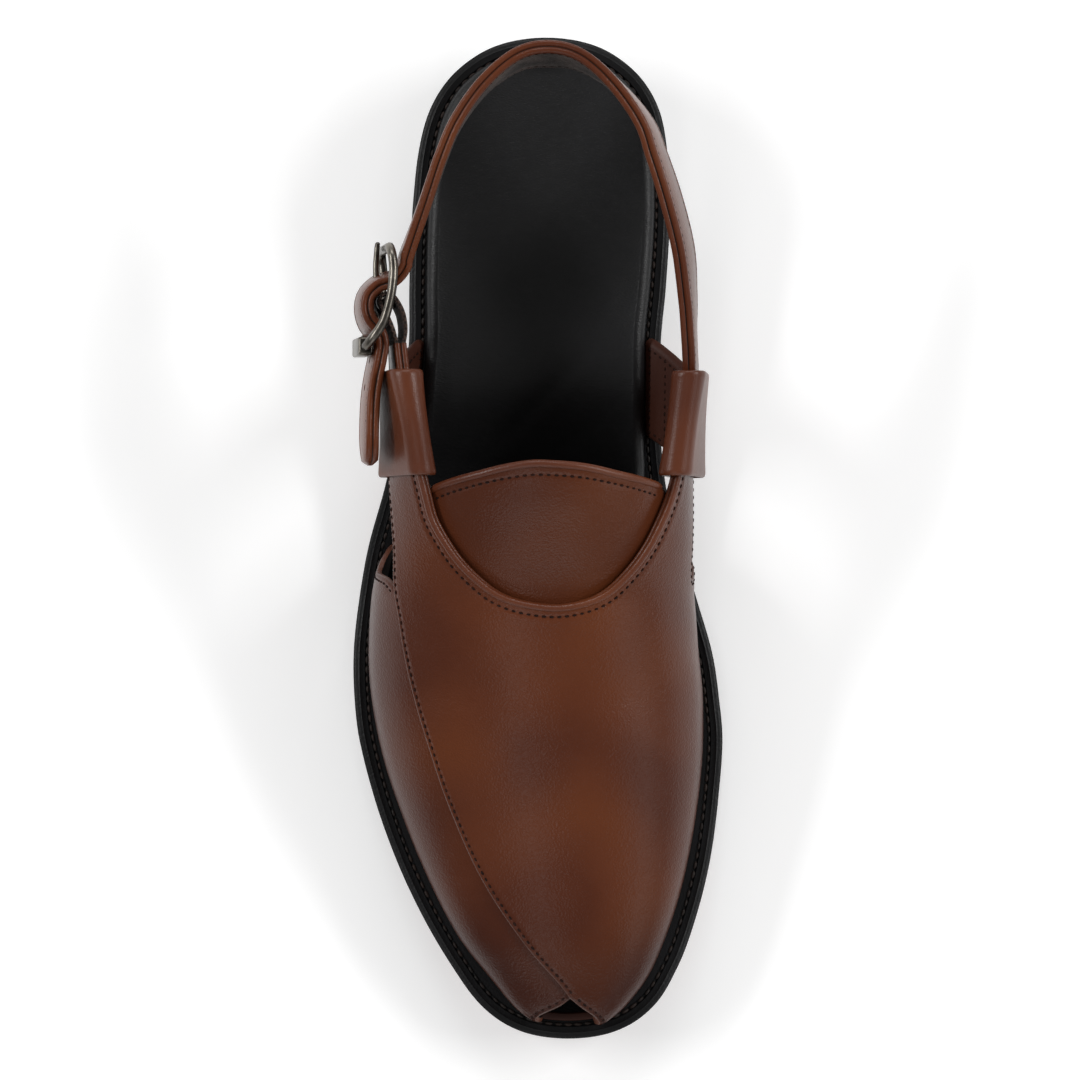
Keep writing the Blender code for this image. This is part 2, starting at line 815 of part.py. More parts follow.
def pattern_rows():
    """Shares of the inner points of the flat pattern, closer together near the toe."""
    share = 0.36
    while share < 0.97:
        yield share
        share += PATTERN_ROW_STEP if share < PATTERN_TOE_SHARE else PATTERN_TOE_ROW_STEP


def panel_mesh(loops):
    """Triangles of flat panels that share edges: (pattern points, faces of each panel)."""
    points, edges, places = [], [], {}
    for loop in loops:
        indices = []
        for p in loop:
            key = (round(p.x, 7), round(p.y, 7))
            if key not in places:
                places[key] = len(points)
                points.append(p)
            indices.append(places[key])
        edges += list(zip(indices, indices[1:] + indices[:1]))
    for share in pattern_rows():
        for k in range(-PATTERN_COLUMNS, PATTERN_COLUMNS + 1):
            p = Vector((k * PATTERN_COLUMN_STEP * PATTERN_SCALE, share * SOLE_LENGTH))
            if any(inside_loop(p, loop) for loop in loops):
                if min(distance_to_loop(p, loop) for loop in loops) > PATTERN_EDGE_ROOM:
                    points.append(p)
    result = delaunay_2d_cdt(points, edges, [], 0, 1e-7)
    flat, triangles = result[0], result[2]
    panels = [[] for _ in loops]
    for triangle in triangles:
        middle = sum((flat[i] for i in triangle), Vector((0, 0))) / 3
        for number, loop in enumerate(loops):
            if inside_loop(middle, loop):
                panels[number].append(tuple(triangle))
                break
    return flat, panels


def on_last(p, offset):
    return last_offset(p.x / PATTERN_SCALE, p.y / SOLE_LENGTH, offset)


def stepped_shell(flat, main, side, inner, main_outer, side_outer):
    """Closed wall over two panels, whose outer faces differ in height at the seam."""
    points = []

    def level(faces, offset):
        used = sorted({i for face in faces for i in face})
        ids = {i: len(points) + k for k, i in enumerate(used)}
        points.extend(on_last(flat[i], offset) for i in used)
        return ids

    inner_ids = level(main + side, inner)
    main_ids = level(main, main_outer)
    side_ids = level(side, side_outer) if side else {}
    faces = [tuple(inner_ids[i] for i in reversed(face)) for face in main + side]
    faces += [tuple(main_ids[i] for i in face) for face in main]
    faces += [tuple(side_ids[i] for i in face) for face in side]
    main_edges = [(face[k - 1], face[k]) for face in main for k in range(3)]
    side_edges = [(face[k - 1], face[k]) for face in side for k in range(3)]
    in_main, in_side = set(main_edges), set(side_edges)
    seam_points = {i for a, b in main_edges if (b, a) in in_side for i in (a, b)}
    for a, b in main_edges:
        if (b, a) in in_side:
            faces.append((side_ids[a], side_ids[b], main_ids[b], main_ids[a]))
        elif (b, a) not in in_main:
            wall = [inner_ids[a], inner_ids[b]]
            wall += [side_ids[b]] if b in seam_points else []
            wall += [main_ids[b], main_ids[a]]
            wall += [side_ids[a]] if a in seam_points else []
            faces.append(tuple(wall))
    for a, b in side_edges:
        if (b, a) not in in_side and (b, a) not in in_main:
            faces.append((inner_ids[a], inner_ids[b], side_ids[b], side_ids[a]))
    return points, faces


def feather_marks(side, rear_share, front_share, count):
    shares = [rear_share + (front_share - rear_share) * i / (count - 1) for i in range(count)]
    return [Vector((side * FEATHER * PATTERN_SCALE, share * SOLE_LENGTH)) for share in shares]


def rod(path, radius, sides=8, flat=1.0, reference=(0, 0, 1), closed=False):
    """Tube along a path; flat narrows it along the reference direction, and a closed one has no ends."""
    rings, points = [], []
    count = len(path)
    for i, centre in enumerate(path):
        ahead = path[(i + 1) % count] if closed else path[min(i + 1, count - 1)]
        behind = path[i - 1] if closed else path[max(i - 1, 0)]
        direction = (ahead - behind).normalized()
        reference = Vector(reference)
        side = (reference - direction * reference.dot(direction)).normalized()
        up = direction.cross(side)
        ring = []
        for k in range(sides):
            angle = 2 * math.pi * (k + 0.5) / sides
            ring.append(len(points))
            points.append(centre + side * (radius * flat * math.cos(angle)) + up * (radius * math.sin(angle)))
        rings.append(ring)
    faces = [] if closed else [tuple(rings[0]), tuple(reversed(rings[-1]))]
    for a, b in zip(rings, rings[1:] + rings[:1] if closed else rings[1:]):
        faces += [(a[k - 1], a[k], b[k], b[k - 1]) for k in range(sides)]
    return points, faces


def make_upper(finish):
    throat = marks(THROAT, 52)
    lateral_leg = marks(LATERAL_LEG_EDGE, 18)
    medial_leg = marks(MEDIAL_LEG_EDGE, 22)
    seam = marks(SEAM, 40)
    medial_toe = marks(MEDIAL_TOE_EDGE, 10)
    lateral_toe = marks(LATERAL_TOE_EDGE, 12)
    rear = marks(LATERAL_REAR_EDGE, 9)
    medial_feather = feather_marks(1, MEDIAL_LEG_EDGE[-1].share, MEDIAL_TOE_EDGE[-1].share, 22)
    lateral_feather = feather_marks(-1, LATERAL_REAR_EDGE[-1].share, LATERAL_TOE_EDGE[-1].share, 22)
    main = (
        throat
        + medial_leg
        + medial_feather[1:-1]
        + medial_toe[::-1]
        + seam[-2::-1]
        + lateral_leg[-2::-1]
    )
    side = seam + lateral_toe[1:] + lateral_feather[-2:0:-1] + rear[:0:-1]
    flat, (main_faces, side_faces) = panel_mesh([main, side])
    shell = stepped_shell(flat, main_faces, side_faces, -UPPER_WALL, 0.0, -SEAM_STEP)
    upper = add_object("upper", *shell, finish)
    inner_part = throat[1:-1]
    path = [on_last(p, BEAD_RADIUS - UPPER_WALL) for p in inner_part]
    bead = add_object("throat_bead", *rod(path, BEAD_RADIUS, sides=6), finish, cutter=True)
    combine(upper, bead, "UNION")


def make_tongue(finish):
    loop = marks(TONGUE_EDGE + TONGUE_EDGE[:1], 56)[:-1]
    flat, (faces,) = panel_mesh([loop])
    outside = -UPPER_WALL - 1.5 * CLEARANCE
    add_object("tongue", *stepped_shell(flat, faces, [], outside - TONGUE_WALL, outside, 0.0), finish)


# Straps, keepers and buckle


def strap_place(row):
    """A strap row's middle point, with its lean as the fourth value."""
    height = welt_top(row.share) + WIDEST_HEIGHT * STRAP_LEVEL + INSTEP_RISE * row.rise
    return Vector((BALL_WIDTH * row.across, length_at(row.share), height, math.radians(row.lean)))


def buckle_point(out, aft, up):
    """A point given in millimetres from the middle of the buckle's centre bar, up along the leaning bar."""
    middle = strap_place(BUCKLE_PLACE)
    lean = math.radians(FRAME_LEAN)
    return Vector(
        (
            middle.x - (out - up * math.sin(lean)) * MILLIMETRE,
            middle.y + aft * MILLIMETRE,
            middle.z + up * math.cos(lean) * MILLIMETRE,
        )
    )


def buckle_station(row):
    point = buckle_point(row.out, row.aft, row.up)
    return Vector((*point, math.radians(row.lean)))


def band_axes(path, i, upright):
    """Middle point of a band, its upward and its outward direction at path point i."""
    ahead, behind = path[min(i + 1, len(path) - 1)], path[max(i - 1, 0)]
    direction = (ahead.xyz - behind.xyz).normalized()
    level = Vector((direction.y, -direction.x, 0)).normalized()
    lean = path[i].w
    up = upright or Vector((0, 0, math.cos(lean))) - level * math.sin(lean)
    up = (up - direction * up.dot(direction)).normalized()
    return path[i].xyz, up, direction.cross(up)


def band(path, section, upright=None):
    """Solid of a flat section of (outward, upward) places along a path; upright sets one lean for all of it."""
    points, rings = [], []
    for i in range(len(path)):
        middle, up, outward = band_axes(path, i, upright)
        rings.append([len(points) + k for k in range(len(section))])
        points += [middle + outward * thick + up * high for thick, high in section]
    faces = [tuple(rings[0]), tuple(reversed(rings[-1]))]
    for a, b in zip(rings, rings[1:]):
        faces += [(a[k - 1], a[k], b[k], b[k - 1]) for k in range(len(section))]
    return points, faces


def plain_section(thickness, width):
    x, y = thickness / 2, width / 2
    return [(-x, -y), (x, -y), (x, y), (-x, y)]


def two_layer_section(thickness, width, groove):
    """Two rounded layers with a groove between them at the upper edge."""
    x, y, r = thickness / 2, width / 2, groove
    lower = [(-x, r - y), (r - x, -y), (x - r, -y), (x, r - y)]
    return lower + [(x, y - r), (x - r, y), (r, y), (0, y - r), (-r, y), (r - x, y), (-x, y - r)]


def make_heel_strap(finish):
    rows = [strap_place(row) for row in HEEL_STRAP] + [buckle_station(row) for row in STRAP_IN_BUCKLE]
    section = two_layer_section(STRAP_THICKNESS, STRAP_WIDTH, STRAP_GROOVE)
    strap = add_object("heel_strap", *band(curve_through(rows, 2), section), finish)
    hole = rod(prong_path(), PRONG_RADIUS + CLEARANCE, reference=(1, 0, 0))
    combine(strap, add_object("prong_hole", *hole, finish, cutter=True), "DIFFERENCE")


def leg_section(edges, share):
    """The upper and lower end of a leg's middle line across the wall."""
    return [last_offset(around, share, -UPPER_WALL / 2) for around in edges]


def keeper_stations(side, count=5):
    """The middle line of what passes through a keeper, as (top, bottom) at places from its front to its rear."""
    parts = [i / (count - 1) for i in range(count)]
    if side < 0:
        edges = list(zip(LATERAL_KEEPER_FRONT, LATERAL_KEEPER_REAR))
        arounds = [[front + (rear - front) * part for front, rear in edges] for part in parts]
        length = KEEPER_REAR_SHARE - KEEPER_FRONT_SHARE
        return [leg_section(ends, KEEPER_FRONT_SHARE + length * part) for ends, part in zip(arounds, parts)]
    front = leg_section(MEDIAL_KEEPER_FRONT, KEEPER_FRONT_SHARE)
    middle = strap_place(MEDIAL_KEEPER_REAR)
    half = Vector((-math.sin(middle.w), 0, math.cos(middle.w))) * (STRAP_WIDTH / 2)
    return [(front[0].lerp(middle.xyz + half, part), front[1].lerp(middle.xyz - half, part)) for part in parts]


def keeper_level(top, bottom, side):
    """One cross-section of a keeper: its loop's outer and inner line, then its doubled tab down to the welt."""
    axis = (top - bottom).normalized()
    outward = Vector((axis.z, 0, -axis.x)) * side
    narrow = math.degrees(math.asin(KEEPER_WALL / (KEEPER_ROOM + KEEPER_WALL)))
    turns = [(bottom, -1, a) for a in (-90, -54, -narrow, narrow, 54, 90)]
    turns += [(top, 1, a) for a in (90, 54, 18, -18, -54, -90)]
    points = []
    for radius in (KEEPER_ROOM + KEEPER_WALL, KEEPER_ROOM):
        for centre, way, degrees in turns:
            turn = math.radians(degrees)
            points.append(centre + (axis * (way * math.cos(turn)) + outward * math.sin(turn)) * radius)
    neck = (points[2] + points[3]) / 2
    foot_y = bottom.y + KEEPER_SLANT
    foot_xy = sole_edge(turn_at(share_at(foot_y)), side, KEEPER_FOOT_INSET)
    foot = Vector((foot_xy.x, foot_xy.y, welt_top(share_at(foot_xy.y)) + CLEARANCE))
    for part, bow in ((0.35, 0.0012), (0.7, 0.0012), (1.0, 0.0)):
        middle = neck.lerp(foot, part) + outward * bow
        level = Vector((side * KEEPER_WALL, 0, 0))
        points += [middle - level, middle + level]
    return points


def make_keeper(name, side, finish):
    ring = list(range(12))
    faces = [(ring[k - 1], ring[k], ring[k] + 12, ring[k - 1] + 12) for k in ring]
    faces += [(3, 2, 24, 25), (25, 24, 26, 27), (27, 26, 28, 29)]
    levels = [keeper_level(top, bottom, side) for top, bottom in keeper_stations(side)]
    add_object(name, *closed_stack(faces, levels), finish)


def make_chape_tab(finish):
    """Leather tab between the elastic and the end of the lateral leg."""
    end_share = LATERAL_LEG_EDGE[0].share - 2 * CLEARANCE / SOLE_LENGTH
    top, bottom = leg_section(LEG_END_LATERAL, end_share)
    lean = math.atan2(top.x - bottom.x, top.z - bottom.z)
    front = Vector((*((top + bottom) / 2), lean))
    rear = buckle_station(CHAPE_TAB_REAR)
    path = [rear.lerp(front, k / 5) for k in range(6)]
    add_object("chape_tab", *band(path, plain_section(TAB_THICKNESS, TAB_WIDTH)), finish)


def make_elastic(finish):
    path = curve_through([buckle_station(row) for row in ELASTIC_LOOP], 2)
    upright = (buckle_point(0, 0, 1) - buckle_point(0, 0, 0)).normalized()
    section = plain_section(ELASTIC_THICKNESS, ELASTIC_WIDTH)
    elastic = add_object("buckle_elastic", *band(path, section, upright), finish)
    reach = 3.4
    half = ELASTIC_WINDOW / MILLIMETRE / 2
    window = [buckle_point(out, aft, up) for up in (-half, half) for out, aft in
              ((-reach, -reach), (reach, -reach), (reach, reach), (-reach, reach))]
    box = [(0, 1, 2, 3), (4, 5, 6, 7), (0, 1, 5, 4), (1, 2, 6, 5), (2, 3, 7, 6), (3, 0, 4, 7)]
    combine(elastic, add_object("elastic_window", window, box, finish, cutter=True), "DIFFERENCE")


def frame_out(aft):
    """How far out the bowed frame lies at a place along it, in millimetres."""
    curve = curve_through([Vector((row.out, row.aft)) for row in FRAME_PLAN], 8)
    for a, b in zip(curve, curve[1:]):
        if a.y >= aft >= b.y:
            return a.lerp(b, (a.y - aft) / (a.y - b.y)).x
    return curve[-1].x


def make_buckle_frame(finish):
    rear, front = FRAME_PLAN[0].aft, FRAME_PLAN[-1].aft
    high = FRAME_HEIGHT / MILLIMETRE / 2
    corner = FRAME_CORNER / MILLIMETRE
    path = []
    for aft_end, up_end, start in ((rear, high, 0), (front, high, 90), (front, -high, 180), (rear, -high, 270)):
        aft_sign, up_sign = (1 if aft_end > 0 else -1), (1 if up_end > 0 else -1)
        for turn in (0, 30, 60, 90):
            angle = math.radians(start + turn)
            aft = aft_end - aft_sign * corner + corner * math.cos(angle)
            up = up_end - up_sign * corner + corner * math.sin(angle)
            path.append((aft, up))
        if abs(math.cos(math.radians(start + 90))) < 0.5:
            next_aft = (front if aft_end == rear else rear) * 1.0
            inner = next_aft - (corner if next_aft > 0 else -corner)
            path += [(path[-1][0] + (inner - path[-1][0]) * k / 5, up_end) for k in range(1, 5)]
    points = [buckle_point(frame_out(aft), aft, up) for aft, up in path]
    tube = rod(points, FRAME_BAR / 2, flat=FRAME_FLATNESS, reference=(1, 0, 0), closed=True)
    frame = add_object("buckle_frame", *tube, finish)
    bar = rod([buckle_point(0, 0, -high), buckle_point(0, 0, high)], CENTRE_BAR / 2, reference=(1, 0, 0))
    combine(frame, add_object("centre_bar", *bar, finish, cutter=True), "UNION")


def sleeve(outline, hole, heights, centre):
    """Solid between two matching outlines of (out, aft) places, from one height to the other."""
    count = len(outline)
    levels = []
    for up in heights:
        levels.append([buckle_point(centre[0] + out, centre[1] + aft, up) for out, aft in outline + hole])
    faces = [((k - 1) % count, k, k + count, (k - 1) % count + count) for k in range(count)]
    return closed_stack(faces, levels)


def make_roller(finish):
    """Flat sleeve round the frame's front bar."""
    room = (FRAME_BAR / 2 * FRAME_FLATNESS + CLEARANCE) / MILLIMETRE
    wall = ROLLER_WALL / MILLIMETRE
    long = ROLLER_LENGTH / MILLIMETRE / 2

    def outline(out, aft):
        cut = 0.5
        return [
            (-out, cut - aft),
            (cut - out, -aft),
            (out - cut, -aft),
            (out, cut - aft),
            (out, aft - cut),
            (out - cut, aft),
            (cut - out, aft),
            (-out, aft - cut),
        ]

    half = ROLLER_HEIGHT / MILLIMETRE / 2
    centre = (FRAME_PLAN[-1].out, FRAME_PLAN[-1].aft)
    shape = sleeve(outline(room + wall, long), outline(room, long - wall), (-half, half), centre)
    add_object("buckle_roller", *shape, finish)


def prong_path():
    places = curve_through([Vector((row.out, row.aft)) for row in PRONG_PATH], 3)
    return [buckle_point(p.x, p.y, 0) for p in places]


def make_prong(finish):
    inner = (CENTRE_BAR / 2 + CLEARANCE) / MILLIMETRE
    outer = inner + PRONG_EYE_WALL / MILLIMETRE
    turns = [2 * math.pi * k / 12 for k in range(12)]
    circle = [[(radius * math.cos(t), radius * math.sin(t)) for t in turns] for radius in (outer, inner)]
    half = PRONG_EYE_HEIGHT / MILLIMETRE / 2
    prong = add_object("buckle_prong", *sleeve(circle[0], circle[1], (-half, half), (0, 0)), finish)
    shank = rod(prong_path(), PRONG_RADIUS, reference=(1, 0, 0))
    combine(prong, add_object("prong_shank", *shank, finish, cutter=True), "UNION")


def main():
    for leftover in list(bpy.data.objects):
        bpy.data.objects.remove(leftover, do_unlink=True)
    brown = material("burnished brown leather", (0.105, 0.032, 0.014), 0.42)
    black = material("black leather", (0.012, 0.012, 0.013), 0.45)
    red_brown = material("red-brown sole leather", (0.19, 0.045, 0.022), 0.5)
    tread = material("dark brown rubber", (0.035, 0.022, 0.018), 0.7)
    webbing = material("woven elastic", (0.03, 0.016, 0.011), 0.85)
    nickel = material("antique nickel", (0.22, 0.2, 0.19), 0.32, 1.0)
    make_outsole(red_brown)
    make_welt(black)
    make_tread_pad(tread)
    make_heel(black, red_brown, tread)
    make_insole(black)
    make_upper(brown)
    make_tongue(brown)
    make_keeper("keeper_lateral", -1, brown)
    make_keeper("keeper_medial", 1, brown)
    make_heel_strap(brown)
    make_chape_tab(brown)
    make_elastic(webbing)
    make_buckle_frame(nickel)
    make_roller(nickel)
    make_prong(nickel)


main()
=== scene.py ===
"""Peshawari chappal, right shoe: burnished leather upper, buckled heel strap, padded footbed and welted sole.

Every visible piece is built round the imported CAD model. Lengths are metres: the toe points along -Y, the outer
(lateral) side is -X and the floor is Z = 0. In the tables, share is the place along the sole from the back of the
heel; widths are fractions of the ball width and the other columns are named above each table.
"""

import math

import bmesh
import bpy
import numpy as np
from bpy.props import FloatProperty, FloatVectorProperty, PointerProperty
from mathutils import Euler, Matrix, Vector
from mathutils.geometry import delaunay_2d_cdt
from mathutils.kdtree import KDTree


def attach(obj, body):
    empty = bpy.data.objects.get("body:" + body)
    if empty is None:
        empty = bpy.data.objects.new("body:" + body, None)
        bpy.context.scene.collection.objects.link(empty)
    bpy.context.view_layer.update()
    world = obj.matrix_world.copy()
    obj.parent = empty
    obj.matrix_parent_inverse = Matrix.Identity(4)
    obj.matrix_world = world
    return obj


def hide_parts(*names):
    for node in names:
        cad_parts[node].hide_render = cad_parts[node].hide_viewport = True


bl_info = {
    "name": "Peshawari chappal",
    "version": (1, 0, 0),
    "blender": (4, 5, 0),
    "location": "3D View > Sidebar > Chappal",
    "description": "Builds the visible pieces of one leather chappal round its packed model",
    "category": "Object",
}

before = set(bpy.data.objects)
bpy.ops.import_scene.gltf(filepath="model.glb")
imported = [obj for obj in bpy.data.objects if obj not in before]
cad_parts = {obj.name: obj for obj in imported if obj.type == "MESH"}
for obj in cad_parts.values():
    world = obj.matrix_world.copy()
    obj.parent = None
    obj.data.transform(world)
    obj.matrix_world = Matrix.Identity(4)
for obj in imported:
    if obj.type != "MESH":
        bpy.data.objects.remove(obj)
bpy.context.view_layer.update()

MM = 0.001
CLEARANCE = 0.0003

# Sole
SOLE_LENGTH = 0.295
BALL_WIDTH = 0.1092
HEEL_CENTRE = 0.0384
HEEL_HEIGHT = 0.022
TOE_SPRING = 0.011
PAD_THICKNESS = 0.0012
OUTSOLE_THICKNESS = 0.0040
WELT_THICKNESS = 0.0038
GROOVE_INSET = 0.0042
GROOVE_WIDTH = 0.0014
GROOVE_DEPTH = 0.0007
LIFT_THICKNESS = 0.0060
HEEL_BREAST_SHARE = 0.295
BREAST_HOLLOW = 0.0035
HEEL_TAPER = 0.0008
TIP_FRONT = (0.193, 0.145)
INSOLE_EDGE = 0.0042
INSOLE_DISH = 0.0022
INSOLE_BANK = 0.0034
SOLE_ROWS = 180

# Upper
INSTEP_RISE = 0.0415
WIDEST_HEIGHT = 0.010
LAST_TIP_SHARE = 0.992
TOE_CLOSING_SHARE = 0.56
UPPER_WALL = 0.0028
SEAM_STEP = 0.0012
TONGUE_WALL = 0.0018
LAST_ROUNDNESS = 0.92
FEATHER = 1.2
PATTERN_SCALE = 0.07
PATTERN_STEP = 0.0020

# Straps, keepers and buckle
STRAP_WIDTH = 0.0190
STRAP_THICKNESS = 0.0038
STRAP_LEVEL = 2.2
STRAP_HOLES = (-9.0, -17.0, -25.0)
KEEPER_WALL = 0.0016
KEEPER_ROOM = 0.0034
KEEPER_SLANT = 0.0115
KEEPER_BOW = 0.0012
KEEPER_FOOT_INSET = 0.0030
KEEPER_FRONT_SHARE = 0.4355
KEEPER_REAR_SHARE = 0.3386
TAB_THICKNESS = 0.0036
TAB_WIDTH = 0.0160
FRAME_HEIGHT = 25.0
FRAME_BAR = 2.8
FRAME_CORNER = 4.0
FRAME_LEAN = math.radians(9)
CENTRE_BAR = 2.4
ROLLER_HEIGHT = 16.8
ROLLER_LENGTH = 5.2
PRONG_RADIUS = 1.0
ELASTIC_THICKNESS = 0.0010
ELASTIC_WIDTH = 0.0150
ELASTIC_WINDOW = 5.6

# share, half width of the ellipse that closes at both ends, centre
SOLE_OUTLINE = (
    (0.000, 0.778, 0.000), (0.020, 0.697, -0.001), (0.040, 0.656, -0.002), (0.070, 0.601, -0.004),
    (0.110, 0.533, -0.008), (0.160, 0.471, -0.012), (0.250, 0.399, -0.023), (0.310, 0.368, -0.031),
    (0.380, 0.361, -0.040), (0.440, 0.382, -0.055), (0.500, 0.422, -0.059), (0.560, 0.466, -0.049),
    (0.620, 0.508, -0.034), (0.660, 0.527, -0.025), (0.700, 0.543, -0.014), (0.760, 0.552, 0.001),
    (0.820, 0.562, 0.019), (0.880, 0.574, 0.037), (0.930, 0.600, 0.052), (0.970, 0.669, 0.059),
    (0.990, 0.740, 0.060), (1.000, 0.820, 0.060),
)
PAD_OUTLINE = (
    (0.00, 0.520, -0.020), (0.05, 0.484, -0.015), (0.12, 0.468, -0.003), (0.23, 0.427, 0.012),
    (0.38, 0.372, 0.020), (0.56, 0.325, 0.037), (0.72, 0.292, 0.060), (0.87, 0.279, 0.079), (1.00, 0.285, 0.090),
)
PAD_SHARES = (0.540, 0.967)
# share, seat as a fraction of the heel height, spring as one of the toe spring
SOLE_BOTTOM = (
    (0.00, 1.03, 0.00), (0.15, 1.00, 0.00), (0.28, 0.965, 0.00), (0.34, 0.86, 0.00), (0.40, 0.60, 0.00),
    (0.46, 0.30, 0.00), (0.52, 0.09, 0.00), (0.57, 0.00, 0.00), (0.74, 0.00, 0.00), (0.80, 0.00, 0.06),
    (0.86, 0.00, 0.24), (0.92, 0.00, 0.54), (1.00, 0.00, 1.00),
)
# share, half, centre, widest line as a fraction of its height, rise as one of the instep's, lateral and medial tuck
LAST = (
    (0.28, 0.400, -0.009, 2.28, 1.260, 0.014, 0.100), (0.38, 0.4025, -0.013, 2.23, 1.157, 0.014, 0.100),
    (0.44, 0.4095, -0.018, 2.29, 1.012, 0.014, 0.100), (0.50, 0.425, -0.025, 1.81, 1.036, 0.014, 0.092),
    (0.56, 0.443, -0.041, 1.21, 1.036, 0.018, 0.053), (0.60, 0.453, -0.040, 1.00, 1.000, 0.021, 0.027),
    (0.66, 0.468, -0.029, 0.70, 0.966, 0.020, 0.013), (0.72, 0.472, -0.014, 0.65, 0.896, 0.016, 0.006),
    (0.78, 0.4673, 0.0035, 0.63, 0.825, 0.011, 0.005), (0.84, 0.463, 0.021, 0.61, 0.753, 0.007, 0.005),
    (0.90, 0.460, 0.038, 0.55, 0.694, 0.005, 0.004), (0.95, 0.4525, 0.056, 0.48, 0.586, 0.004, 0.003),
    (LAST_TIP_SHARE, 0.500, 0.055, 0.40, 0.560, 0.003, 0.003),
)
# share, lateral and medial distance from the sole's edge to the footbed's
INSOLE_MARGIN = (
    (0.00, 0.040, 0.040), (0.26, 0.048, 0.044), (0.42, 0.056, 0.050), (0.50, 0.085, 0.105), (0.60, 0.098, 0.105),
    (0.80, 0.105, 0.105), (1.00, 0.115, 0.115),
)

# Edges on the last as (around, share): around is -1 at the lateral and 1 at the medial widest line
THROAT = (
    (-0.680, 0.375), (-0.615, 0.405), (-0.570, 0.430), (-0.515, 0.456), (-0.463, 0.480), (-0.383, 0.503),
    (-0.308, 0.521), (-0.217, 0.539), (-0.125, 0.554), (-0.023, 0.5625), (0.098, 0.566), (0.212, 0.5615),
    (0.312, 0.551), (0.406, 0.5315), (0.481, 0.511), (0.558, 0.4875), (0.628, 0.4665), (0.666, 0.454),
    (0.714, 0.4355), (0.765, 0.410), (0.800, 0.385),
)
LATERAL_LEG_EDGE = (
    (-0.950, 0.375), (-0.905, 0.412), (-0.860, 0.440), (-0.788, 0.468), (-0.711, 0.503), (-0.625, 0.550),
)
MEDIAL_LEG_EDGE = (
    (1.030, 0.385), (0.990, 0.430), (0.930, 0.470), (0.885, 0.505), (0.880, 0.535), (0.940, 0.538), (1.000, 0.526),
    (1.100, 0.505), (1.200, 0.487),
)
SEAM = (
    (-0.625, 0.550), (-0.586, 0.573), (-0.558, 0.597), (-0.537, 0.616), (-0.498, 0.661), (-0.461, 0.709),
    (-0.438, 0.752), (-0.412, 0.789), (-0.376, 0.8265), (-0.324, 0.8585), (-0.240, 0.893), (-0.144, 0.923),
    (-0.022, 0.9475), (0.042, 0.957),
)
MEDIAL_TOE_EDGE = ((0.042, 0.957), (0.200, 0.9675), (0.476, 0.978), (0.800, 0.984), (1.200, 0.986))
LATERAL_TOE_EDGE = ((0.042, 0.957), (-0.120, 0.9675), (-0.500, 0.979), (-0.850, 0.985), (-1.200, 0.987))
LATERAL_REAR_EDGE = (
    (-0.625, 0.550), (-0.737, 0.538), (-0.850, 0.533), (-0.974, 0.5285), (-1.080, 0.515), (-1.200, 0.503),
)
TONGUE_CROWN = (
    (-0.530, 0.458), (-0.499, 0.453), (-0.257, 0.440), (-0.058, 0.433), (0.070, 0.433), (0.215, 0.4355),
    (0.424, 0.443), (0.634, 0.451),
)
TONGUE_SKIRT = (
    (0.634, 0.451), (0.700, 0.462), (0.660, 0.500), (0.560, 0.535), (0.420, 0.565), (0.240, 0.590),
    (0.050, 0.598), (-0.150, 0.590), (-0.320, 0.565), (-0.450, 0.530), (-0.550, 0.490), (-0.570, 0.470),
    (-0.530, 0.458),
)

# Middle of the heel strap: across, share, rise as a fraction of the instep's, lean in degrees
HEEL_STRAP = (
    (0.372, 0.3788, 0.154, 8), (0.379, 0.3600, 0.128, 6), (0.380, 0.3340, 0.113, 5), (0.376, 0.3000, 0.148, 5),
    (0.372, 0.2660, 0.208, 8), (0.359, 0.2210, 0.311, 12), (0.328, 0.1760, 0.404, 13), (0.287, 0.1310, 0.482, 12),
    (0.250, 0.0980, 0.533, 10), (0.175, 0.0640, 0.567, 5), (0.087, 0.0410, 0.584, -3), (0.004, 0.0350, 0.590, -7),
    (-0.077, 0.0410, 0.584, -4), (-0.162, 0.0650, 0.567, 0), (-0.230, 0.0980, 0.534, 2), (-0.271, 0.1310, 0.490, 2),
    (-0.315, 0.1760, 0.398, 3),
)
MEDIAL_KEEPER_REAR = (0.380, KEEPER_REAR_SHARE, 0.115, 5)
BUCKLE_PLACE = (-0.423, 0.2693, 0.219, 9)
# Millimetres out from, aft of and up from the middle of the buckle's bar, and lean in degrees
STRAP_IN_BUCKLE = (
    (-6.4, 14.4, 2.6, 5), (-5.0, 9.8, 1.6, 6), (-2.2, 6.8, 1.0, 8), (1.9, 5.4, 0.8, 9), (5.2, 2.3, 0.6, 9),
    (6.0, -1.8, 0.4, 9), (4.9, -5.8, 0.2, 9), (2.6, -8.8, 0.0, 9), (1.6, -12.2, -0.2, 9), (2.2, -16.5, -0.3, 9),
    (3.2, -21.5, -0.4, 9), (4.0, -28.0, -0.9, 9), (4.3, -38.0, -1.4, 9), (4.0, -46.6, -1.4, 9),
)
ELASTIC_LOOP = (
    (-4.7, -12.0), (-5.2, -8.0), (-4.6, -3.6), (-3.0, -0.2), (-1.5, 1.6), (0.0, 2.1), (1.5, 1.5), (2.1, 0.0),
    (1.4, -1.8), (-0.4, -5.0), (-1.8, -8.6), (-2.6, -12.3),
)
TAB_REAR = (-3.6, -12.2, 0, 9)
PRONG_PATH = ((0.9, 1.7), (2.1, 5.0), (2.5, 9.6), (2.2, 15.0), (1.9, 17.2))
FRAME_PLAN = ((-0.3, 15.2), (-1.0, 9.8), (-0.8, 5.0), (0.0, 0.0), (2.1, -6.6), (6.3, -12.8))
LATERAL_KEEPER = ((-0.565, -0.865), (-0.730, -0.985))
MEDIAL_KEEPER_FRONT = (0.714, 0.985)
LEG_END_LATERAL = (-0.680, -0.950)


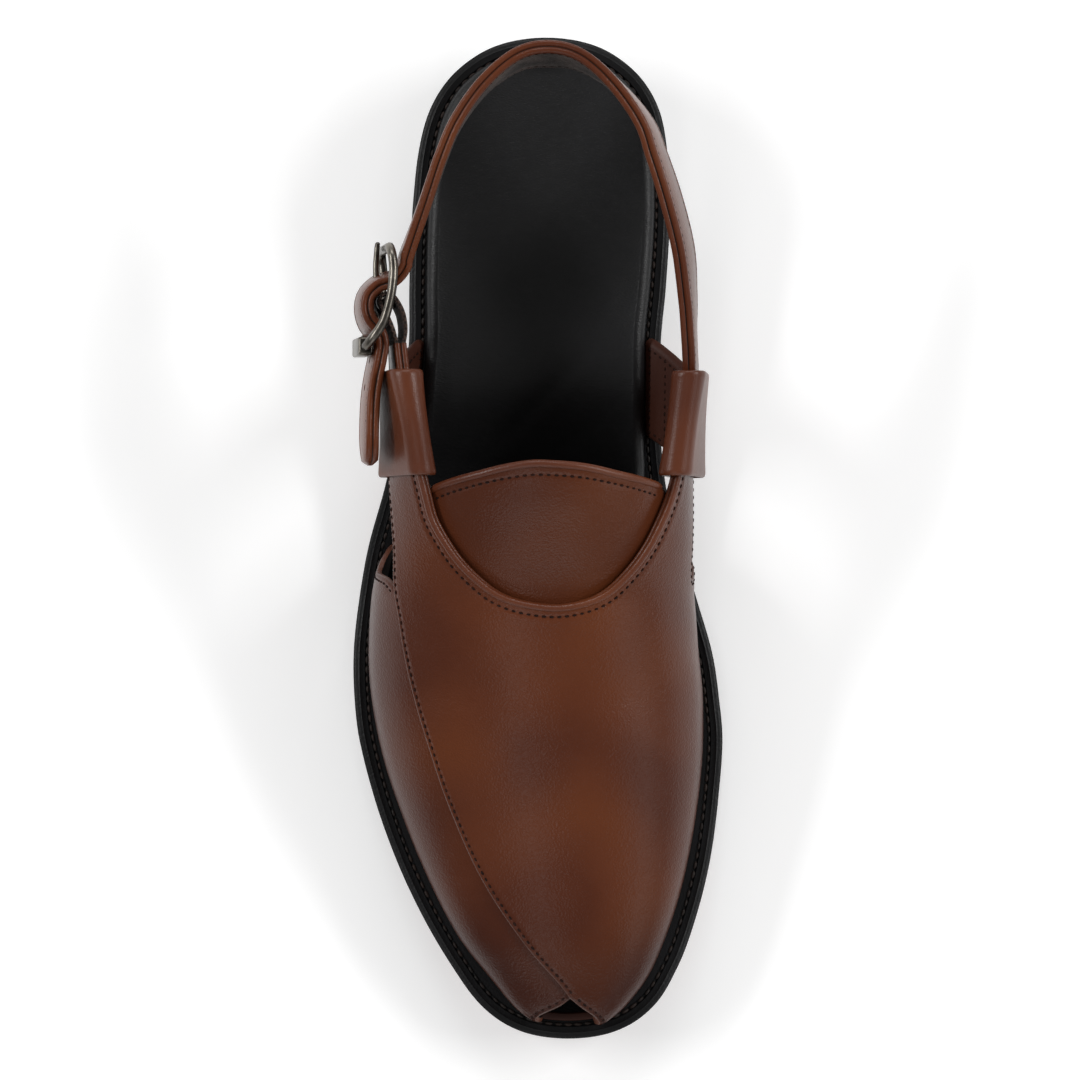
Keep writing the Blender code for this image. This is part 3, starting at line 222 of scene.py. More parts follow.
def linear(colour):
    """Linear RGB of an sRGB hex value."""
    parts = [int(colour[k : k + 2], 16) / 255 for k in (1, 3, 5)]
    return [c / 12.92 if c <= 0.04045 else ((c + 0.055) / 1.055) ** 2.4 for c in parts]


def tint(colour):
    """Linear RGB of a hex value or of a panel's colour."""
    return linear(colour) if isinstance(colour, str) else list(colour)


def length_field(name, default, text):
    return FloatProperty(name=name, description=text, default=default, min=0.0, unit="LENGTH", subtype="DISTANCE")


def colour_field(name, default, text):
    return FloatVectorProperty(name=name, description=text, default=linear(default), min=0, max=1, subtype="COLOR")


# Curves and the last


def smooth(rows, column, share):
    """Value of a table column at any share, on a curve that never overshoots between its rows."""
    rows = np.array(rows)
    shares, values = rows[:, 0], rows[:, column]
    step = np.diff(shares)
    slope = np.diff(values) / step
    weight_in, weight_out = 2 * step[1:] + step[:-1], step[1:] + 2 * step[:-1]
    steady = slope[:-1] * slope[1:] > 0
    into, out = np.where(steady, slope[:-1], 1), np.where(steady, slope[1:], 1)
    inner = np.where(steady, (weight_in + weight_out) / (weight_in / into + weight_out / out), 0)
    tangent = np.concatenate([slope[:1], inner, slope[-1:]])
    share = np.clip(share, shares[0], shares[-1])
    k = np.clip(np.searchsorted(shares, share, side="right") - 1, 0, len(step) - 1)
    t = (share - shares[k]) / step[k]
    start = (1 + 2 * t) * (1 - t) ** 2 * values[k] + step[k] * t * (1 - t) ** 2 * tangent[k]
    return start + t * t * (3 - 2 * t) * values[k + 1] + step[k] * t * t * (t - 1) * tangent[k + 1]


def unit(vectors):
    return vectors / np.maximum(np.linalg.norm(vectors, axis=-1, keepdims=True), 1e-12)


def curve_through(points, per_span):
    """Points on a smooth curve through the given points, per_span of them from each to the next."""
    p = np.array(points, float)
    p = np.vstack([2 * p[0] - p[1], p, 2 * p[-1] - p[-2]])
    t = np.arange(per_span)[:, None] / per_span
    spans = []
    for a, b, c, d in zip(p, p[1:], p[2:], p[3:]):
        spans.append((2 * b + (c - a) * t + (2 * a - 5 * b + 4 * c - d) * t**2 + (3 * b - a - 3 * c + d) * t**3) / 2)
    return np.vstack([*spans, p[-2:-1]])


def spaced(points, step):
    """Points at equal steps of about this length along a line of points."""
    points = np.asarray(points)
    run = np.concatenate([[0], np.cumsum(np.linalg.norm(np.diff(points, axis=0), axis=1))])
    wanted = np.linspace(0, run[-1], max(2, round(run[-1] / step) + 1))
    return np.stack([np.interp(wanted, run, column) for column in points.T], -1)


def length_at(share):
    return HEEL_CENTRE - share * SOLE_LENGTH


def share_at(y):
    return (HEEL_CENTRE - y) / SOLE_LENGTH


def tread_height(share):
    return HEEL_HEIGHT * smooth(SOLE_BOTTOM, 1, share) + TOE_SPRING * smooth(SOLE_BOTTOM, 2, share)


def outsole_bottom(share):
    return tread_height(share) + PAD_THICKNESS + CLEARANCE


def welt_bottom(share):
    return outsole_bottom(share) + OUTSOLE_THICKNESS + CLEARANCE


def welt_top(share):
    return welt_bottom(share) + WELT_THICKNESS


def height_and_slope(surface, places):
    """Height of a surface of the sole at plan places, and how it rises along Y."""
    height, step = surface(share_at(places[:, 1])), 0.001
    return height, (surface(share_at(places[:, 1] + step)) - height) / step


def outline_point(rows, turn, side, shares=(0.0, 1.0)):
    """Plan point of an outline: turn is 0 at its rear and pi at its front, side -1 lateral and 1 medial."""
    share = (1 - np.cos(turn)) / 2
    half = BALL_WIDTH * smooth(rows, 1, share) * np.sin(turn)
    centre = BALL_WIDTH * smooth(rows, 2, share)
    return np.stack([centre + side * half, length_at(shares[0] + share * (shares[1] - shares[0]))], -1)


def sole_edge(turn, side, inset=0.0):
    """Plan point of the sole's outline, moved inwards by inset."""
    turn = np.asarray(turn, float)
    ahead = unit(outline_point(SOLE_OUTLINE, turn + 0.001, side) - outline_point(SOLE_OUTLINE, turn - 0.001, side))
    inward = np.stack([ahead[..., 1], -ahead[..., 0]], -1) * side
    return outline_point(SOLE_OUTLINE, turn, side) + inward * np.asarray(inset)[..., None]


def turn_at(share):
    return np.arccos(1 - 2 * np.asarray(share))


def closing(share):
    """How the last narrows and lowers towards the toe."""
    part = np.clip((share - TOE_CLOSING_SHARE) / (LAST_TIP_SHARE - TOE_CLOSING_SHARE), 0, 1)
    return np.sqrt(1 - part * part)


def last_point(around, share):
    """Points on the outside of the upper: around 0 is the ridge, -1 and 1 the widest lines."""
    around, share = np.broadcast_arrays(np.asarray(around, float), np.asarray(share, float))
    side = np.where(around > 0, 1.0, -1.0)
    widest = welt_top(share) + WIDEST_HEIGHT * smooth(LAST, 3, share)
    seat = welt_top(share) + 2 * CLEARANCE
    angle = np.minimum(abs(around), 1) * math.pi / 2
    under = np.clip((abs(around) - 1) / (FEATHER - 1), 0, 1)
    tuck = BALL_WIDTH * np.where(side < 0, smooth(LAST, 5, share), smooth(LAST, 6, share))
    half = BALL_WIDTH * smooth(LAST, 1, share) * closing(share)
    rise = INSTEP_RISE * smooth(LAST, 4, share) * closing(share)
    x = BALL_WIDTH * smooth(LAST, 2, share) + side * (half * np.sin(angle) - tuck * under**1.6)
    z = widest + rise * np.cos(angle) ** LAST_ROUNDNESS - (widest - seat) * under
    return np.stack([x, length_at(share), z], -1)


def last_slopes(around, share):
    """How the surface of the last runs with around and with share."""
    inside = np.clip(around, 0.004 - FEATHER, FEATHER - 0.004)
    across = (last_point(inside + 0.004, share) - last_point(inside - 0.004, share)) / 0.008
    along = (last_point(inside, share + 0.001) - last_point(inside, share - 0.001)) / 0.002
    return across, along


def last_normal(around, share):
    across, along = last_slopes(around, share)
    return unit(np.cross(along, across))


def last_offset(pattern, offset=0.0):
    """Points at flat pattern places, an offset outside the last."""
    around, share = pattern[..., 0] / PATTERN_SCALE, pattern[..., 1] / SOLE_LENGTH
    return last_point(around, share) + last_normal(around, share) * np.asarray(offset)[..., None]


def edge_line(rows, step):
    """An edge in the flat pattern, in equal steps."""
    flat = np.array(rows) * (PATTERN_SCALE, SOLE_LENGTH)
    return spaced(curve_through(flat, 12), step)


def inset_line(line, distance):
    """A line in the flat pattern moved sideways over the last by a real distance, to the right of its direction."""
    around, share = line[:, 0] / PATTERN_SCALE, line[:, 1] / SOLE_LENGTH
    across, along = last_slopes(around, share)
    run = unit(np.gradient(last_offset(line), axis=0))
    aside = np.cross(run, unit(np.cross(along, across)))
    columns = np.stack([across / PATTERN_SCALE, along / SOLE_LENGTH], -1)
    square = np.einsum("nij,nik->njk", columns, columns) + np.eye(2) * 1e-9
    wanted = np.einsum("nij,ni->nj", columns, aside * distance)
    return line + np.linalg.solve(square, wanted[..., None])[..., 0]


# Meshes


def new_object(name, data):
    made = bpy.data.objects.new(name, data)
    bpy.context.scene.collection.objects.link(made)
    return made


def shape_mesh(name, points, faces, edges=()):
    mesh = bpy.data.meshes.new(name)
    mesh.from_pydata(np.asarray(points).tolist(), list(edges), [tuple(map(int, face)) for face in faces])
    return mesh


def modified_mesh(made):
    """Plain mesh of an object as its modifiers leave it, which it then keeps."""
    graph = bpy.context.evaluated_depsgraph_get()
    mesh = bpy.data.meshes.new_from_object(made.evaluated_get(graph), depsgraph=graph)
    made.modifiers.clear()
    made.data = mesh
    mesh.name = made.name
    return mesh


def add_piece(name, points, faces, finishes, kinds=None, replaced=(), slot=None, fields=None, uv=None, sharp=40):
    """A finished piece: merged, facing out, smooth, riding on the shoe's one body."""
    mesh = shape_mesh(name, points, faces)
    for field, values in (fields or {}).items():
        mesh.attributes.new(field, "FLOAT", "POINT").data.foreach_set("value", np.asarray(values, np.float32))
    if kinds is not None:
        mesh.polygons.foreach_set("material_index", np.asarray(kinds, np.int32))
    if uv is not None:
        layer = mesh.uv_layers.new(name="along")
        corners = np.empty(len(mesh.loops), np.int32)
        mesh.loops.foreach_get("vertex_index", corners)
        layer.data.foreach_set("uv", np.asarray(uv, np.float32)[corners].ravel())
    shape = bmesh.new()
    shape.from_mesh(mesh)
    bmesh.ops.remove_doubles(shape, verts=shape.verts, dist=2e-6)
    bmesh.ops.delete(shape, geom=[v for v in shape.verts if not v.link_faces], context="VERTS")
    bmesh.ops.recalc_face_normals(shape, faces=shape.faces)
    shape.to_mesh(mesh)
    shape.free()
    for finish in finishes if isinstance(finishes, (list, tuple)) else (finishes,):
        mesh.materials.append(finish)
    mesh.shade_smooth()
    mesh.set_sharp_from_angle(angle=math.radians(sharp))
    return settle(new_object(name, mesh), replaced, slot)


def settle(piece, replaced=(), slot=None):
    if replaced:
        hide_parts(*replaced)
    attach(piece, "root")
    return piece


def grid_faces(rows, columns, start=0, closed=False):
    """Quads of a grid of points; closed joins its last column to its first."""
    ids = start + np.arange(rows * columns).reshape(rows, columns)
    if closed:
        ids = np.hstack([ids, ids[:, :1]])
    quads = np.stack([ids[:-1, :-1], ids[1:, :-1], ids[1:, 1:], ids[:-1, 1:]], -1)
    return quads.reshape(-1, 4).tolist()


def torus_faces(rows, columns):
    """Quads of a grid of points that closes both ways."""
    ids = np.arange(rows * columns).reshape(rows, columns)
    around = np.roll(ids, -1, 0)
    return np.stack([ids, around, np.roll(around, -1, 1), np.roll(ids, -1, 1)], -1).reshape(-1, 4).tolist()


def solid_between(grids):
    """Closed solid between the first and last grid of points, whose rim passes through the grids between."""
    rows, columns = grids[0].shape[:2]
    size = rows * columns
    ids = np.arange(size).reshape(rows, columns)
    rim = np.concatenate([ids[:, 0], ids[-1, 1:], ids[-2::-1, -1], ids[0, -2:0:-1]])
    ahead = np.roll(rim, -1)
    faces = [face[::-1] for face in grid_faces(rows, columns)]
    faces += grid_faces(rows, columns, size * (len(grids) - 1))
    for k in range(len(grids) - 1):
        low, high = size * k, size * (k + 1)
        faces += np.stack([rim + low, ahead + low, ahead + high, rim + high], -1).tolist()
    return np.concatenate([grid.reshape(-1, 3) for grid in grids]), faces


def bottom_kinds(faces, grid):
    """Kind 0 for the first grid's faces, which are the solid's underside, and 1 for all others."""
    count = (grid.shape[0] - 1) * (grid.shape[1] - 1)
    return [0] * count + [1] * (len(faces) - count)


def sweep(path, up, section, closed=False):
    """A section of (side, up) places carried along a path; up is one direction for each point of it."""
    path, section = np.asarray(path), np.asarray(section, float)
    if closed:
        ahead, behind = np.roll(path, -1, 0), np.roll(path, 1, 0)
    else:
        ahead, behind = np.vstack([path[1:], path[-1:]]), np.vstack([path[:1], path[:-1]])
    run = unit(ahead - behind)
    up = np.broadcast_to(up, path.shape)
    up = unit(up - run * np.sum(up * run, 1, keepdims=True))
    side = np.cross(run, up)
    if section.ndim == 2:
        section = np.broadcast_to(section, (len(path), *section.shape))
    points = path[:, None] + side[:, None] * section[..., :1] + up[:, None] * section[..., 1:]
    rows, columns = points.shape[:2]
    faces = grid_faces(rows, columns, closed=True)
    if closed:
        last = (rows - 1) * columns
        faces += [(last + (k - 1) % columns, last + k, k, (k - 1) % columns) for k in range(columns)]
    else:
        faces += [tuple(range(columns)), tuple(range(rows * columns - 1, (rows - 1) * columns - 1, -1))]
    return points.reshape(-1, 3), faces


def joined(*parts):
    """One list of points and faces from several."""
    points, faces = [], []
    for part_points, part_faces in parts:
        shift = sum(len(p) for p in points)
        points.append(np.asarray(part_points))
        faces += [tuple(i + shift for i in face) for face in part_faces]
    return np.concatenate(points), faces


def turned_plan(places, angle):
    cos, sin = math.cos(angle), math.sin(angle)
    return places @ np.array([[cos, sin], [-sin, cos]])


def ring(radius, sides):
    turn = 2 * math.pi * (np.arange(sides) + 0.5) / sides
    return np.stack([radius * np.cos(turn), radius * np.sin(turn)], -1)


def round_ends(section, count, end=3):
    """The same section for each path point, drawn in at both ends."""
    scale = np.ones(count)
    taper = np.sin(np.linspace(0.35, 1, end + 1)[:-1] * math.pi / 2)
    scale[:end], scale[-end:] = taper, taper[::-1]
    return scale[:, None, None] * np.asarray(section)


# Materials


def feed(tree, node, inputs):
    """Sets a node's inputs: each to a value, or linked to an output or to a node's first output."""
    for key, value in inputs.items():
        if isinstance(value, bpy.types.Node):
            value = value.outputs[0]
        if isinstance(value, bpy.types.NodeSocket):
            tree.links.new(value, node.inputs[key])
        else:
            node.inputs[key].default_value = value


def add_node(tree, kind, inputs=None, **settings):
    """A node with its settings, which are given before its inputs."""
    node = tree.nodes.new(kind)
    for key, value in settings.items():
        setattr(node, key, value)
    feed(tree, node, inputs or {})
    return node


def new_finish(name, **constants):
    """An empty material's tree and shader, with the shader's constants set."""
    made = bpy.data.materials.new(name)
    made.use_nodes = True
    shader = made.node_tree.nodes["Principled BSDF"]
    for key, value in constants.items():
        shader.inputs[key.replace("_", " ").title().replace("Ior", "IOR")].default_value = value
    return made, made.node_tree, shader


def map_range(tree, value, source, target):
    ends = zip(("From Min", "From Max", "To Min", "To Max"), (*source, *target))
    return add_node(tree, "ShaderNodeMapRange", {"Value": value, **dict(ends)})


def ramp_of(tree, fac, stops):
    """Colour of a value through (place, linear colour) stops."""
    node = add_node(tree, "ShaderNodeValToRGB", {"Fac": fac})
    ramp = node.color_ramp
    while len(ramp.elements) < len(stops):
        ramp.elements.new(0.5)
    for element, (place, colour) in zip(ramp.elements, stops):
        element.position = place
        element.color = (*tint(colour), 1)
    return node.outputs["Color"]


def leather(name, colours, roughness, grain=0.0006, relief=0.00003, patch=0.04, rim=None, coat=0.0, stretch=1.0,
            shine=0.22, burnt="#000000"):
    """Leather with burnished patches, mottling and pebble grain.

    Grain, relief and patch are metres. The mesh's "burnish" mixes in burnt, and near its "edge" the colour is rim: a
    lighter band that is partly the cut edge's own colour and partly a painted highlight on its rounded lip.
    """
    made, tree, shader = new_finish(name, coat_weight=coat, coat_roughness=0.28, specular_ior_level=shine)
    place = add_node(tree, "ShaderNodeTexCoord").outputs["Object"]
    patches = add_node(tree, "ShaderNodeTexNoise", {"Vector": place, "Scale": 1 / patch, "Detail": 1.0,
                                                    "Roughness": 0.4})
    mottle = add_node(tree, "ShaderNodeTexNoise", {"Vector": place, "Scale": 260.0, "Detail": 3.0, "Roughness": 0.6})
    both = add_node(tree, "ShaderNodeMath", {0: mottle, 1: 0.05, 2: patches}, operation="MULTIPLY_ADD")
    colour = ramp_of(tree, both, [(0.38, colours[0]), (0.56, colours[1]), (0.76, colours[2])])
    burnish = add_node(tree, "ShaderNodeAttribute", attribute_name="burnish")
    rubbed = add_node(tree, "ShaderNodeMix", {0: burnish.outputs["Fac"], 6: colour, 7: (*tint(burnt), 1)},
                      data_type="RGBA")
    colour = rubbed.outputs[2]
    # A lighter band near the cut edges: partly the edges' own colour and partly a painted highlight on their rounded
    # lip
    if rim is not None:
        edge = add_node(tree, "ShaderNodeAttribute", attribute_name="edge")
        near = map_range(tree, edge.outputs["Fac"], (0.15, 0.5), (1.0, 0.0))
        mix = add_node(tree, "ShaderNodeMix", {0: near, 6: colour, 7: (*tint(rim), 1)}, data_type="RGBA")
        colour = mix.outputs[2]
    gloss = map_range(tree, mottle, (0.3, 0.7), (roughness - 0.015, roughness + 0.02))
    turned = add_node(tree, "ShaderNodeMapping", {"Vector": place, "Rotation": (0.3, 0.2, 0.7),
                                                  "Scale": (1, stretch, 1)})
    pebble = add_node(tree, "ShaderNodeTexVoronoi", {"Vector": turned, "Scale": 1 / grain, "Smoothness": 0.6},
                      feature="SMOOTH_F1")
    crinkle = add_node(tree, "ShaderNodeTexNoise", {"Vector": turned, "Scale": 0.3 / grain, "Detail": 3.0,
                                                    "Distortion": 0.3})
    height = add_node(tree, "ShaderNodeMath", {0: crinkle, 1: 0.8, 2: pebble}, operation="MULTIPLY_ADD")
    bump = add_node(tree, "ShaderNodeBump", {"Height": height, "Strength": 1.0, "Distance": relief})
    feed(tree, shader, {"Base Color": colour, "Roughness": gloss, "Normal": bump})
    return made


def plain_finish(name, colours, roughness, metallic=0.0, grain=0.0012, relief=0.00005, patch=0.01, shine=0.5):
    """Metal, rubber, thread or suede: a soft change of colour and a fine bump."""
    made, tree, shader = new_finish(name, metallic=metallic, specular_ior_level=shine)
    place = add_node(tree, "ShaderNodeTexCoord").outputs["Object"]
    patches = add_node(tree, "ShaderNodeTexNoise", {"Vector": place, "Scale": 1 / patch, "Detail": 4.0})
    colour = ramp_of(tree, patches, [(0.36, colours[0]), (0.64, colours[1])])
    gloss = map_range(tree, patches, (0.3, 0.7), (roughness - 0.06, roughness + 0.06))
    fine = add_node(tree, "ShaderNodeTexNoise", {"Vector": place, "Scale": 1 / grain, "Detail": 5.0})
    bump = add_node(tree, "ShaderNodeBump", {"Height": fine, "Distance": relief})
    feed(tree, shader, {"Base Color": colour, "Roughness": gloss, "Normal": bump})
    return made


def woven(name, dark, light):
    """Braided elastic: two crossing diagonal ribs on the band's own map, which is in metres."""
    made, tree, shader = new_finish(name, roughness=0.85)
    place = add_node(tree, "ShaderNodeUVMap", uv_map="along").outputs[0]
    ribs = []
    for turn in (0.75, -0.75):
        turned = add_node(tree, "ShaderNodeMapping", {"Vector": place, "Rotation": (0, 0, turn)})
        wave = add_node(tree, "ShaderNodeTexWave", {"Vector": turned, "Scale": 260.0, "Distortion": 1.0, "Detail": 2.0})
        ribs.append(wave.outputs["Fac"])
    both = add_node(tree, "ShaderNodeMath", {0: ribs[0], 1: ribs[1]}, operation="MAXIMUM")
    bump = add_node(tree, "ShaderNodeBump", {"Height": both, "Distance": 0.00025})
    feed(tree, shader, {"Base Color": ramp_of(tree, both, [(0.35, dark), (0.95, light)]), "Normal": bump})
    return made


FINISHES = {}


def make_finishes(colours):
    """Fills FINISHES from the colours that the panel shows."""
    calf = (colours.leather_dark, colours.leather, colours.leather_light)
    black = ("#0c0c0d", "#121213", "#19191b")
    FINISHES.update(
        # Burnished calf: darker patches rubbed in by hand, a satin wax coat and a fine pebble in the highlights; near
        # its cut edges a lighter band that is partly a painted highlight
        upper=leather("burnished_calf_waxed", calf, 0.29, relief=0.00009, rim=colours.edge, coat=0.04, burnt="#35170e"),
        strap=leather("burnished_calf_strap", calf, 0.29, relief=0.00008, coat=0.04),
        # The same calf drawn tight over a bead or a loop: its fine pebble opens the highlight into a soft band
        bead=leather("burnished_calf_stretched", calf, 0.36, grain=0.0004, relief=0.00005, shine=0.35),
        # Edge of the hide after cutting and inking: lighter, drier and redder than the face
        edge=plain_finish("inked_cut_edge", (colours.edge, colours.leather), 0.5, patch=0.004),
        # Brushed split leather inside: dark, dry and slightly fibrous, so it shows no highlight
        lining=plain_finish("brushed_split_lining", ("#1c1614", "#37302c"), 0.85, relief=0.0002),
        # Napped split on the strap's inner side: grey-brown and fuzzy
        suede=plain_finish("napped_split", ("#2e2826", "#4d4440"), 0.95, grain=0.0005, relief=0.0003),
        # Glue line between two leathers: dark and dull, and painted shade in the groove between their rounded edges
        seam=plain_finish("glued_seam", ("#140a07", "#1f110c"), 0.8),
        # Lining calf on tabs and loops: dyed dark and left unwaxed, so it is duller than the face; the keepers' tabs
        # take it all over as painted shade, for they lie in shade beneath the loops
        keeper_lining=leather("brown_lining_leather", ("#2a130b", "#381a10", "#43241a"), 0.5, grain=0.0007),
        # Black lining sheep over foam: soft, with broad shallow wrinkles and a low satin
        footbed=leather("black_lining_sheep", (colours.footbed, *black[1:]), 0.42, grain=0.0008, relief=0.00008,
                        stretch=3.0, shine=0.35),
        # Welt leather after black edge ink and wax: nearly even, with a dull shine
        welt=leather("black_inked_welt", black, 0.42, grain=0.0006, relief=0.00006),
        # Waxed outsole: red-brown, polished smooth, with faint streaks along its length
        sole=leather("waxed_outsole", ("#5a2317", colours.sole, "#7f3a28"), 0.38, grain=0.0012, relief=0.00004,
                     patch=0.05),
        # Wave lines on the outsole: a dark, dull inlay that is painted shade, standing in for carved grooves
        carving=plain_finish("burnt_in_line", ("#2a130e", "#431c13"), 0.6),
        # Moulded rubber: matt, dark brown-grey and faintly mottled
        tread=plain_finish("moulded_rubber", (colours.tread, "#332b28"), 0.62, patch=0.02),
        # Floor of the moulded pockets: paler, because dust stays there
        pocket=plain_finish("moulded_rubber_pocket", ("#4a3e39", "#5c4f48"), 0.75, patch=0.02),
        # Waxed polyester thread: dark, with hardly any shine
        thread=plain_finish("waxed_thread", (colours.thread, "#2a1711"), 0.75, grain=0.0004, shine=0.12),
        welt_thread=plain_finish("waxed_welt_thread", ("#120d0b", "#261a15"), 0.6, grain=0.0004, shine=0.3),
        # Antiqued nickel plate: dark in the hollows, rubbed bright on the high places
        metal=plain_finish("antiqued_nickel", ("#3a3632", colours.metal), 0.3, metallic=1.0, grain=0.0006,
                           relief=0.00002, patch=0.006),
        elastic=woven("braided_elastic", "#150d0a", "#4a372e"),
    )


# Stitches and other repeats


def new_tree(name, fields):
    """A geometry node group with a Geometry input and these (name, type, default) inputs."""
    tree = bpy.data.node_groups.new(name, "GeometryNodeTree")
    tree.interface.new_socket("Geometry", in_out="INPUT", socket_type="NodeSocketGeometry")
    for field, kind, default in fields:
        socket = tree.interface.new_socket(field, in_out="INPUT", socket_type=kind)
        if default is not None:
            socket.default_value = default
    tree.interface.new_socket("Geometry", in_out="OUTPUT", socket_type="NodeSocketGeometry")
    return tree, add_node(tree, "NodeGroupInput").outputs


def named_vector(tree, name):
    return add_node(tree, "GeometryNodeInputNamedAttribute", {"Name": name}, data_type="FLOAT_VECTOR")


def stand(tree, points, instance, **inputs):
    inputs.update(Points=points, Instance=instance)
    return add_node(tree, "GeometryNodeInstanceOnPoints", inputs)


def end_tree(tree, instances, finish, smooth=True):
    made = add_node(tree, "GeometryNodeRealizeInstances", {"Geometry": instances})
    if smooth:
        made = add_node(tree, "GeometryNodeSetShadeSmooth", {"Geometry": made})
    painted = add_node(tree, "GeometryNodeSetMaterial", {"Geometry": made, "Material": finish})
    add_node(tree, "NodeGroupOutput", {"Geometry": painted})


def stitch_tree():
    """Stitches along each line of a mesh's edges: a plump thread laid along the line, a gap, and the next."""
    tree, given = new_tree(
        "stitch_row",
        (
            ("Pitch", "NodeSocketFloat", 0.0024),
            ("Length", "NodeSocketFloat", 0.0019),
            ("Radius", "NodeSocketFloat", 0.0003),
            ("Seed", "NodeSocketInt", 3),
            ("Thread", "NodeSocketMaterial", None),
        ),
    )
    line = add_node(tree, "GeometryNodeMeshToCurve", {0: given["Geometry"]})
    places = add_node(tree, "GeometryNodeCurveToPoints", {0: line, "Length": given["Pitch"]}, mode="LENGTH")
    half = add_node(tree, "ShaderNodeMath", {0: given["Length"], 1: 0.5}, operation="MULTIPLY")
    ball = add_node(tree, "GeometryNodeMeshUVSphere", {"Segments": 8, "Rings": 6, "Radius": 1.0})
    size = add_node(tree, "ShaderNodeCombineXYZ", {"X": given["Radius"], "Y": given["Radius"], "Z": half})
    thread = add_node(tree, "GeometryNodeTransform", {"Geometry": ball, "Scale": size})
    lay = add_node(tree, "FunctionNodeAlignRotationToVector", {"Vector": places.outputs["Tangent"]}, axis="Z")
    uneven = add_node(tree, "FunctionNodeRandomValue", {2: 0.9, 3: 1.08, "Seed": given["Seed"]}, data_type="FLOAT")
    laid = stand(tree, places, thread, Rotation=lay, Scale=uneven.outputs[1])
    end_tree(tree, laid, given["Thread"])
    return tree


def grow(name, points, edges, tree, inputs, slot=None, fields=None):
    """A plain mesh of what a node tree makes on the given mesh, riding on the shoe."""
    base = shape_mesh(name + "_base", points, [], edges)
    for field, values in (fields or {}).items():
        base.attributes.new(field, "FLOAT_VECTOR", "POINT").data.foreach_set("vector",
                                                                             np.asarray(values, np.float32).ravel())
    maker = new_object(name, base)
    modifier = maker.modifiers.new("grow", "NODES")
    modifier.node_group = tree
    for item in tree.interface.items_tree:
        if item.item_type == "SOCKET" and item.in_out == "INPUT" and item.name in inputs:
            modifier[item.identifier] = inputs[item.name]
    if not modified_mesh(maker).polygons:
        raise RuntimeError(name + " grew nothing")
    return settle(maker, slot=slot)


def sew(name, lines, pitch, length, radius, finish, slot=None):
    """Rows of stitches along lines of points."""
    points, edges = [], []
    for line in lines:
        start = sum(len(p) for p in points)
        points.append(np.asarray(line))
        edges += [(start + k, start + k + 1) for k in range(len(line) - 1)]
    tree = bpy.data.node_groups.get("stitch_row") or stitch_tree()
    inputs = {"Pitch": pitch, "Length": length, "Radius": radius, "Thread": finish}
    return grow(name, np.concatenate(points), edges, tree, inputs, slot=slot)


def sew_leather(name, lines, sizes):
    """Stitches of the upper and straps, in the sizes that the panel shows."""
    length = sizes.stitch_pitch * sizes.stitch_share
    sew(name, lines, sizes.stitch_pitch, length, sizes.thread, FINISHES["thread"], "upper_leather")


# Sole


def between(sides, across):
    """Grid of plan points from the lateral to the medial side's line; across runs from -1 to 1."""
    part = (np.asarray(across, float)[:, None] + 1) / 2
    return sides[0][:, None] * (1 - part) + sides[1][:, None] * part


def sole_grid(inset, height, across=(-1, 1), margins=None, rows=SOLE_ROWS):
    """Grid of points over the sole's plan, from the lateral to the medial edge, at a height for each share."""
    turn = np.linspace(0, math.pi, rows + 1)
    share = (1 - np.cos(turn)) / 2
    sides = []
    for side, column in ((-1, 1), (1, 2)):
        margin = BALL_WIDTH * smooth(margins, column, share) if margins else 0.0
        sides.append(sole_edge(turn, side, margin + inset + turn * 0))
    plan = between(sides, across)
    plan[0], plan[-1] = plan[0].mean(0), plan[-1].mean(0)
    return np.dstack([plan, height(share_at(plan[..., 1]))])


def sole_layer(steps, bottom, thickness):
    return solid_between(
        [sole_grid(inset, lambda s, level=level: bottom(s) + level * thickness) for inset, level in steps]
    )


def make_outsole():
    steps = ((0.0012, 0.0), (0.0006, 0.05), (0.0002, 0.18), (0.0, 0.5), (0.0002, 0.82), (0.0005, 0.95), (0.0009, 1.0))
    points, faces = sole_layer(steps, outsole_bottom, OUTSOLE_THICKNESS)
    kinds = bottom_kinds(faces, sole_grid(0, outsole_bottom))
    add_piece("outsole_leather", points, faces, [FINISHES["sole"], FINISHES["welt"]], kinds, ("outsole",),
              "sole_leather")


def make_welt(sizes):
    # Each step is a distance in from the sole's edge and a level, 0 at the welt's underside and 1 at its top
    rib, dip = 0.0001, 0.0008
    wide = GROOVE_WIDTH / 2
    floor = 1 - GROOVE_DEPTH / WELT_THICKNESS
    steps = [(0.0010, 0.0), (0.0005, 0.03)]
    for low, high in ((0.07, 0.24), (0.44, 0.58), (0.78, 0.92)):
        steps += [(dip, low - 0.05), (rib + 0.0003, low - 0.01), (rib, (low + high) / 2)]
        steps += [(rib + 0.0003, high + 0.01), (dip, high + 0.05)]
    steps = sorted(steps, key=lambda step: step[1])
    steps += [(0.0011, 1.0), (0.0016, 1.0), (0.0019, 1.05), (0.0022, 1.0)]
    groove = ((-wide, 1.0), (-wide * 0.7, 0.92), (-wide / 3, floor), (wide / 3, floor), (wide * 0.7, 0.92), (wide, 1.0))
    steps += [(GROOVE_INSET + aside, level) for aside, level in groove]
    add_piece("welt_leather", *sole_layer(steps, welt_bottom, WELT_THICKNESS), FINISHES["welt"],
              replaced=("welt",), slot="welt_leather")
    grid = sole_grid(GROOVE_INSET, lambda s: welt_top(s) - GROOVE_DEPTH + 0.0002)
    line = np.vstack([grid[:, 0], grid[-2::-1, -1]])
    sew("welt_stitches", [spaced(line, 0.0008)], sizes.welt_pitch, sizes.welt_pitch * 0.8, sizes.welt_thread,
        FINISHES["welt_thread"], slot="welt_leather")


